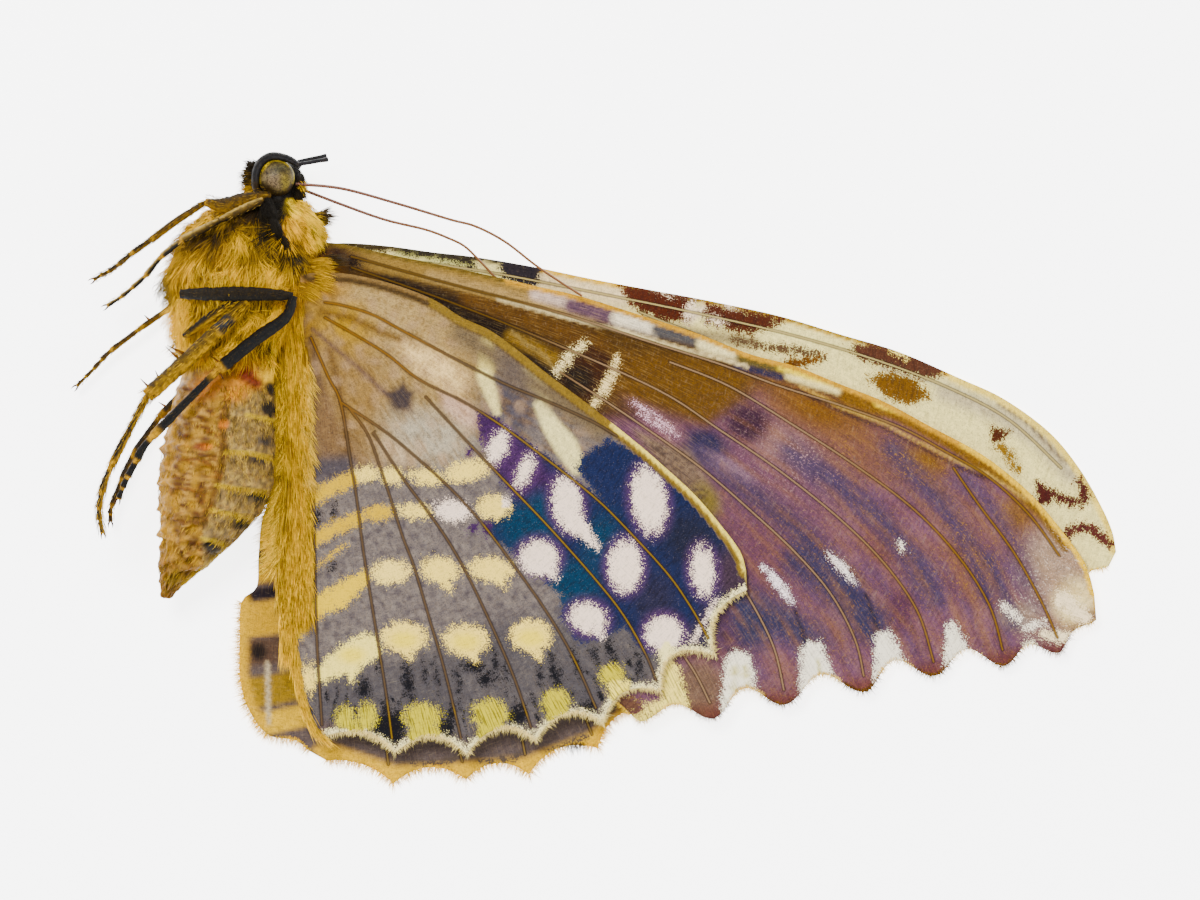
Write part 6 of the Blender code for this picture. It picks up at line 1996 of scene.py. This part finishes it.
def bristles(name, lines, hair, source):
    """The bristles of one leg, all round the lines of its three parts."""
    halves, _, shin_tint, _, edge_and_highlight_tint, _ = LEG_LOOKS[name]
    hairy = LEG_HAIRS[name]
    whole = np.concatenate(lines)
    radius = np.concatenate([np.full(len(line), half) for line, half in zip(lines, halves)])
    index = source.integers(1, len(whole) - 3, hairy)
    along = whole[index + 2, :2] - whole[index - 1, :2]
    along = along / np.maximum(np.hypot(*along.T), 1e-6)[:, None]
    side = np.stack((-along[:, 1], along[:, 0]), axis=1)
    turn = source.uniform(0, 2 * math.pi, hairy)
    offset = np.cos(turn) * radius[index] / GRID * 0.85
    start = whole[index, :2] + side * offset[:, None]
    levels = whole[index, 2] + np.sin(turn) * radius[index] * 0.75
    length = source.uniform(2.0, 5.5, hairy) * (1.8 if name == "hind_left" else 1.0)
    spread = source.uniform(0.1, 0.45, hairy)
    spines = []
    for share in SPINE_SHARES:
        apart = (np.cos(turn) * spread * length * share)[:, None]
        flat = start + along * (length * share)[:, None] + side * apart
        spines.append(place(flat, levels + np.sin(turn) * spread * length * GRID * share))
    spines = np.stack(spines, axis=1)
    spines[..., 2] = np.maximum(spines[..., 2], LOWEST)
    base = Paint(start, edge_and_highlight_tint if name != "mid_left" else (84, 66, 38))
    base.over(source.uniform(-1, 1, hairy), shin_tint, 0.3)
    base.over(source.uniform(-1, 0.6, hairy), (34, 26, 18), 0.2)
    outs = np.stack((side[:, 0] * np.cos(turn), -side[:, 1] * np.cos(turn), np.sin(turn) + 1e-3), axis=1)
    where = index / len(whole)
    number = sorted(LEGS).index(name)
    spots = np.stack((0.02 + 0.96 * where, (number + 0.1 + 0.8 * turn / (2 * math.pi)) / len(LEGS)), axis=1)
    strands("bristles_" + name, spines, outs, source.uniform(0.00004, 0.00007, hairy),
            strand_colours(base.colours, source, 0.7, 1.2), spots, hair, "leg_skin",
            *(f"leg_{name}_{part}" for part in LEG_PARTS))


def leg(name, horn, hair, source):
    """One leg as one piece with its spurs and claws, and its bristles."""
    thigh, shin, foot = (curved(part, 1.0) for part in LEGS[name])
    halves, thigh_tint, shin_tint, foot_tint, edge_and_highlight_tint, joint_tint = LEG_LOOKS[name]
    tints = (thigh_tint, shin_tint, foot_tint)
    parts = []
    for kind, line, half, colour in zip(LEG_PARTS, (thigh, shin, foot), halves, tints):
        share = np.linspace(0, 1, len(line))
        where = away(line[:, :2], np.array(LEGS[name][2])[:, :2])[1]
        profile = leg_profile(name, kind, share, where)
        profile = profile * (1 + 0.05 * cloud(np.stack((share * 30, share * 0), axis=1), 3.0, len(name)))
        flatness = 0.8 if kind == "thigh" else 0.9
        points, faces, along_share, across = tube(place(line), half * profile, LEG_SIDES, flatness)
        flat = np.stack((along_share * 100, across * 6), axis=1)
        paint = Paint(flat, colour)
        lower = -across if line[0, 0] > line[-1, 0] else across
        # On the far fore leg the pale edge colour lies along the upper edge: a painted highlight.
        if name == "fore_right":
            lower = -lower
        paint.over(lower * 4 - 1.6, edge_and_highlight_tint, 1.6, 0.85)
        paint.over(-lower * 4 - 2.2, (10, 9, 8), 1.4, 0.85)
        if kind == "foot":
            here = np.interp(along_share, share, where) % 1.0
            paint.over(1 - np.minimum(here, 1 - here) * 9, joint_tint, 0.6)
        if kind == "shin":
            paint.over(along_share * 30 - 27.6, joint_tint, 1.0)
        if kind == "thigh":
            knee_tint = joint_tint if name in ("fore_left", "hind_left") else (20, 20, 22)
            paint.over(along_share * 30 - 28.4, knee_tint, 1.0)
        if name == "hind_left" and kind == "shin":
            paint.over(6 - np.abs(along_share * 100 - 26), (70, 74, 78), 2)
            paint.over(cloud(flat, 9, 7) * 4 - 1, (58, 44, 30), 2, 0.6)
        parts.append((points, faces, paint.colours))
    for base, tip in SPURS.get(name, []):
        level = shin[np.argmin(np.hypot(*(shin[:, :2] - base).T)), 2]
        ends = np.array(((*base, level), (*tip, level + 0.0002)))
        line = ends[0] + (ends[1] - ends[0]) * np.linspace(0, 1, 7)[:, None]
        points, faces, along_share, _ = tube(place(line), np.linspace(0.00026, 0.00004, 7), 8)
        paint = Paint(np.stack((along_share, along_share), axis=1), (150, 96, 36))
        paint.over(along_share - 0.7, (40, 26, 16), 0.2)
        parts.append((points, faces, paint.colours))
    end, before = foot[-1], foot[-4]
    aim = end[:2] - before[:2]
    aim = aim / np.hypot(*aim)
    for sign in (-1, 1):
        side = np.array((-aim[1], aim[0])) * sign
        line = []
        for t in (0, 0.3, 0.6, 1):
            flat = end[:2] + aim * 6 * t + side * (1.2 + 3.2 * t - 2.4 * t * t)
            line.append((*flat, end[2] - 0.0002 * t))
        points, faces, along_share, _ = tube(place(line), (0.00014, 0.00012, 0.00008, 0.00002), 6)
        parts.append((points, faces, Paint(np.stack((along_share,) * 2, axis=1), (60, 30, 20)).colours))
    points, faces, colours = join(parts)
    points[:, 2] = np.maximum(points[:, 2], LOWEST)
    made = new_object("leg_" + name, points, faces, horn, {"tint": colours})
    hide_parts(*(f"leg_{name}_{part}" for part in LEG_PARTS))
    bristles(name, (thigh, shin, foot), hair, source)


# The feelers, and each palp's bent strap, thin end rod and level.
ANTENNAE = {
    "left": [
        (297, 184.5, 0.0108), (306, 185.5, 0.0110), (345, 190, 0.0112), (400, 205, 0.0106),
        (450, 220, 0.0094), (476, 227, 0.0088), (505, 242, 0.0080), (535, 265, 0.0072),
        (560, 282, 0.0068), (582, 296, 0.0064),
    ],
    "right": [
        (297, 188, 0.0072), (307, 191.5, 0.0072), (345, 206, 0.0072), (385, 220, 0.0070),
        (426, 230, 0.0066), (450, 239, 0.0060), (464, 246, 0.0056), (476, 257, 0.0050),
        (492, 274, 0.0043), (508, 292, 0.0038),
    ],
}
PALP_STRAP = [
    (259, 196), (257, 185), (258, 173), (263, 163), (273, 157.5), (286, 159), (295, 163), (301, 167.5),
]
STRAP_SHARES = (0, 0.15, 0.4, 0.7, 0.9, 1)
STRAP_RADII = (0.0004, 0.0006, 0.00066, 0.0006, 0.0005, 0.0003)
PALP_RODS = {
    "left": [(300, 165.5), (315, 163), (329.5, 160.5)],
    "right": [(298, 162), (314, 158.5), (327, 156)],
}
PALP_LEVELS = {"left": 0.0121, "right": 0.0055}


def feelers():
    """The two thin feelers, ringed all along."""
    rings = Surface("feeler")
    here = rings.object_place()
    segment = rings.value("ring")
    groove = rings.step(rings.math("FRACT", segment), 0.0, 0.3)
    grain = rings.noise(here, 5000.0, 2.0, 0.6)
    painted = rings.mix(groove, (60, 36, 24), rings.colour("tint"))
    painted = rings.mix(rings.step(grain, 0.4, 0.6, 0.35, 0.0), painted, (40, 26, 20))
    feeler = rings.finish(Base_Color=painted, Roughness=rings.step(grain, 0.3, 0.7, 0.4, 0.6),
                          Normal=rings.bump(groove, 0.6, 0.00004))
    for side, line in ANTENNAE.items():
        full = curved(line, 0.9)
        share = np.linspace(0, 1, len(full))
        radii = 0.00024 - 0.00007 * share + 0.00008 * (1 - smooth(share, 0, 0.02))
        points, faces, along, _ = tube(place(full), radii, 10)
        paint = Paint(np.stack((along * 300, along), axis=1), (136, 82, 60))
        paint.over(along * 300 - 130, (160, 102, 54), 60)
        values = {"tint": paint.colours, "ring": along * 150}
        made = new_object("feeler_" + side, points, faces, feeler, values)
        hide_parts("antenna_" + side)


def palps():
    """The two black palps, each a bent strap with a thin rod at its end."""
    horn = horn_material("palp_scales", 0.42, 0.10)
    for side in ("left", "right"):
        level = PALP_LEVELS[side]
        parts = []
        strap = curved([(*point, level) for point in PALP_STRAP], 0.8)
        share = np.linspace(0, 1, len(strap))
        radii = np.interp(share, STRAP_SHARES, STRAP_RADII)
        points, faces, along, across = tube(place(strap), radii, 14, 1.3)
        paint = Paint(np.stack((along * 100, across * 4), axis=1), (20, 20, 22))
        # A painted highlight along one side of the strap.
        paint.over(1.0 - np.abs(across * 4 - 1.2), (58, 58, 60), 1.0, 0.8)
        paint.over(18 - along * 100, (40, 30, 16), 8)
        parts.append((points, faces, paint.colours))
        rod = curved([(*point, level) for point in PALP_RODS[side]], 0.8)
        share = np.linspace(0, 1, len(rod))
        radii = 0.00029 + 0.00007 * smooth(share, 0.7, 0.95) - 0.00014 * smooth(share, 0.96, 1.0)
        points, faces, along, _ = tube(place(rod), radii, 10)
        parts.append((points, faces, Paint(np.stack((along, along), axis=1), (36, 36, 40)).colours))
        points, faces, colours = join(parts)
        made = new_object("palp_scaled_" + side, points, faces, horn, {"tint": colours})
        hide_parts("palp_" + side)


# How many points an eye has round it and from its lowest place to its highest.
EYE_SIDES = 96
EYE_RINGS = 65


def eyes():
    """The two eyes, of many small lenses."""
    s = Surface("eye")
    here = s.object_place()
    voronoi = s.nodes.new("ShaderNodeTexVoronoi")
    voronoi.inputs["Scale"].default_value = 9000.0
    s.links.new(here, voronoi.inputs["Vector"])
    lens = voronoi.outputs["Distance"]
    mottle = s.noise(here, 900.0, 4.0, 0.65)
    fine = s.noise(here, 3200.0, 3.0, 0.7)
    painted = s.mix(s.step(mottle, 0.48, 0.60, 0.0, 0.55), s.colour("tint"), (58, 48, 24))
    painted = s.mix(s.step(fine, 0.52, 0.70, 0.0, 0.5), painted, (150, 136, 84))
    painted = s.mix(s.step(fine, 0.36, 0.50, 0.85, 0.0), painted, (24, 18, 12))
    painted = s.mix(s.step(lens, 0.25, 0.6, 0.0, 0.5), painted, (30, 24, 18))
    material = s.finish(
        Base_Color=painted, Roughness=s.step(mottle, 0.3, 0.7, 0.4, 0.6), Specular_IOR_Level=0.12,
        Normal=s.bump(lens, 0.35, 0.00004),
    )
    for side in ("left", "right"):
        sides, rings = np.arange(EYE_SIDES)[:, None], np.arange(EYE_RINGS - 1)
        heights = np.linspace(-0.5, 0.5, EYE_RINGS) * math.pi
        turn, rise = np.meshgrid(np.arange(EYE_SIDES) * 2 * math.pi / EYE_SIDES, heights, indexing="ij")
        ball = np.stack((np.cos(turn) * np.cos(rise), np.sin(turn) * np.cos(rise), np.sin(rise)), axis=-1)
        low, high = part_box("eye_" + side)
        centre, half = (np.array(low) + np.array(high)) / 2, (np.array(high) - np.array(low)) / 2
        points = centre + ball * half * (0.985, 0.985, 1.0)
        a = sides * EYE_RINGS + rings
        b = (sides + 1) % EYE_SIDES * EYE_RINGS + rings
        quads = np.stack((a, b, b + 1, a + 1), axis=-1).reshape(-1, 4)
        flat = ball[..., :2].reshape(-1, 2) * (1, -1) * 19
        paint = Paint(flat, (132, 116, 70))
        paint.over(spot(flat, -1, 1, 26, 24), (160, 138, 112), 7)
        paint.over(spot(flat, 5, -9, 20, 9), (100, 98, 74), 4)
        paint.over(spot(flat, 10, 4, 10, 18, -10), (176, 156, 92), 4)
        paint.over(stroke(flat, [(-10, -4), (-2, -9), (8, -7), (12, 0)], 2.5), (44, 36, 18), 2, 0.7)
        paint.over(stroke(flat, [(-12, 2), (-6, -4), (2, -5)], 2), (140, 132, 104), 2, 0.6)
        rim = np.hypot(*flat.T)
        crescent = rim - 16.9 + 2.4 * smooth(spot(flat, -13, -12, 22, 22), 0, 8)
        paint.over(only(flat[:, 0] + flat[:, 1] < 2, crescent), (226, 192, 40), 0.8)
        paint.over(only(flat[:, 0] > 8, rim - 17.9), (200, 186, 110), 0.5)
        paint.over(only(flat[:, 1] > 6, rim - 15.6), (44, 32, 14), 1.4)
        paint.over(spot(flat, -9, 13, 22, 12, 30), (52, 38, 16), 3)
        points = points.reshape(-1, 3)
        made = new_object("eye_ball_" + side, points, quads, material, {"tint": paint.colours})
        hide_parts("eye_" + side)


def legs(hair):
    """The six legs."""
    horn = horn_material("leg_skin", 0.52, 0.12)
    source = np.random.default_rng(SEED + 4)
    for name in LEGS:
        leg(name, horn, hair, source)


# The floor, the sky, the lights by place, size and power, and the camera.
FLOOR_HALF = 3.0
FLOOR_LEVEL = -0.0001
FLOOR_GLOW = 4.5
SKY_STRENGTH = 1.0
LIGHTS = [
    ("key", (-0.35, 0.45, 0.9), 0.45, 20.0),
    ("fill", (0.7, -0.3, 0.8), 0.9, 6.0),
]
LENS = 400.0
SENSOR = 36.0
AIM_LEVEL = 0.004


def stage():
    """A pale floor, soft lights and the camera straight above."""
    floor = Surface("floor").finish(Base_Color=(250, 250, 250), Roughness=0.9)
    shader = floor.node_tree.nodes["Principled BSDF"]
    shader.inputs["Emission Color"].default_value = (1.0, 1.0, 1.0, 1.0)
    shader.inputs["Emission Strength"].default_value = FLOOR_GLOW
    half = FLOOR_HALF
    corners = [(-half, -half, 0.0), (half, -half, 0.0), (half, half, 0.0), (-half, half, 0.0)]
    mesh = bpy.data.meshes.new("floor")
    mesh.from_pydata(corners, [], [(0, 1, 2, 3)])
    mesh.materials.append(floor)
    made = bpy.data.objects.new("floor", mesh)
    made.location = (0.0, 0.0, FLOOR_LEVEL)
    bpy.context.scene.collection.objects.link(made)
    world = bpy.data.worlds.new("studio")
    world.use_nodes = True
    back = world.node_tree.nodes["Background"]
    back.inputs["Color"].default_value = (1.0, 1.0, 1.0, 1.0)
    back.inputs["Strength"].default_value = SKY_STRENGTH
    bpy.context.scene.world = world
    for name, spot_place, size, power in LIGHTS:
        data = bpy.data.lights.new(name, "AREA")
        data.shape = "DISK"
        data.size = size
        data.energy = power
        light = bpy.data.objects.new(name, data)
        light.location = spot_place
        light.rotation_euler = (-Vector(spot_place)).to_track_quat("-Z", "Y").to_euler()
        bpy.context.scene.collection.objects.link(light)
    data = bpy.data.cameras.new("camera")
    data.lens = LENS
    data.sensor_width = SENSOR
    distance = VIEW_WIDTH * GRID * LENS / SENSOR
    aim = place([VIEW_CENTRE], AIM_LEVEL)[0]
    data.clip_start = distance * 0.1
    data.clip_end = distance * 4
    camera = bpy.data.objects.new("camera", data)
    camera.location = (aim[0], aim[1], aim[2] + distance)
    bpy.context.scene.collection.objects.link(camera)
    bpy.context.scene.camera = camera


stage()
wings()
body_skin()
hair = fur()
tufts(hair)
band(hair)
fringes(hair)
legs(hair)
feelers()
palps()
eyes()
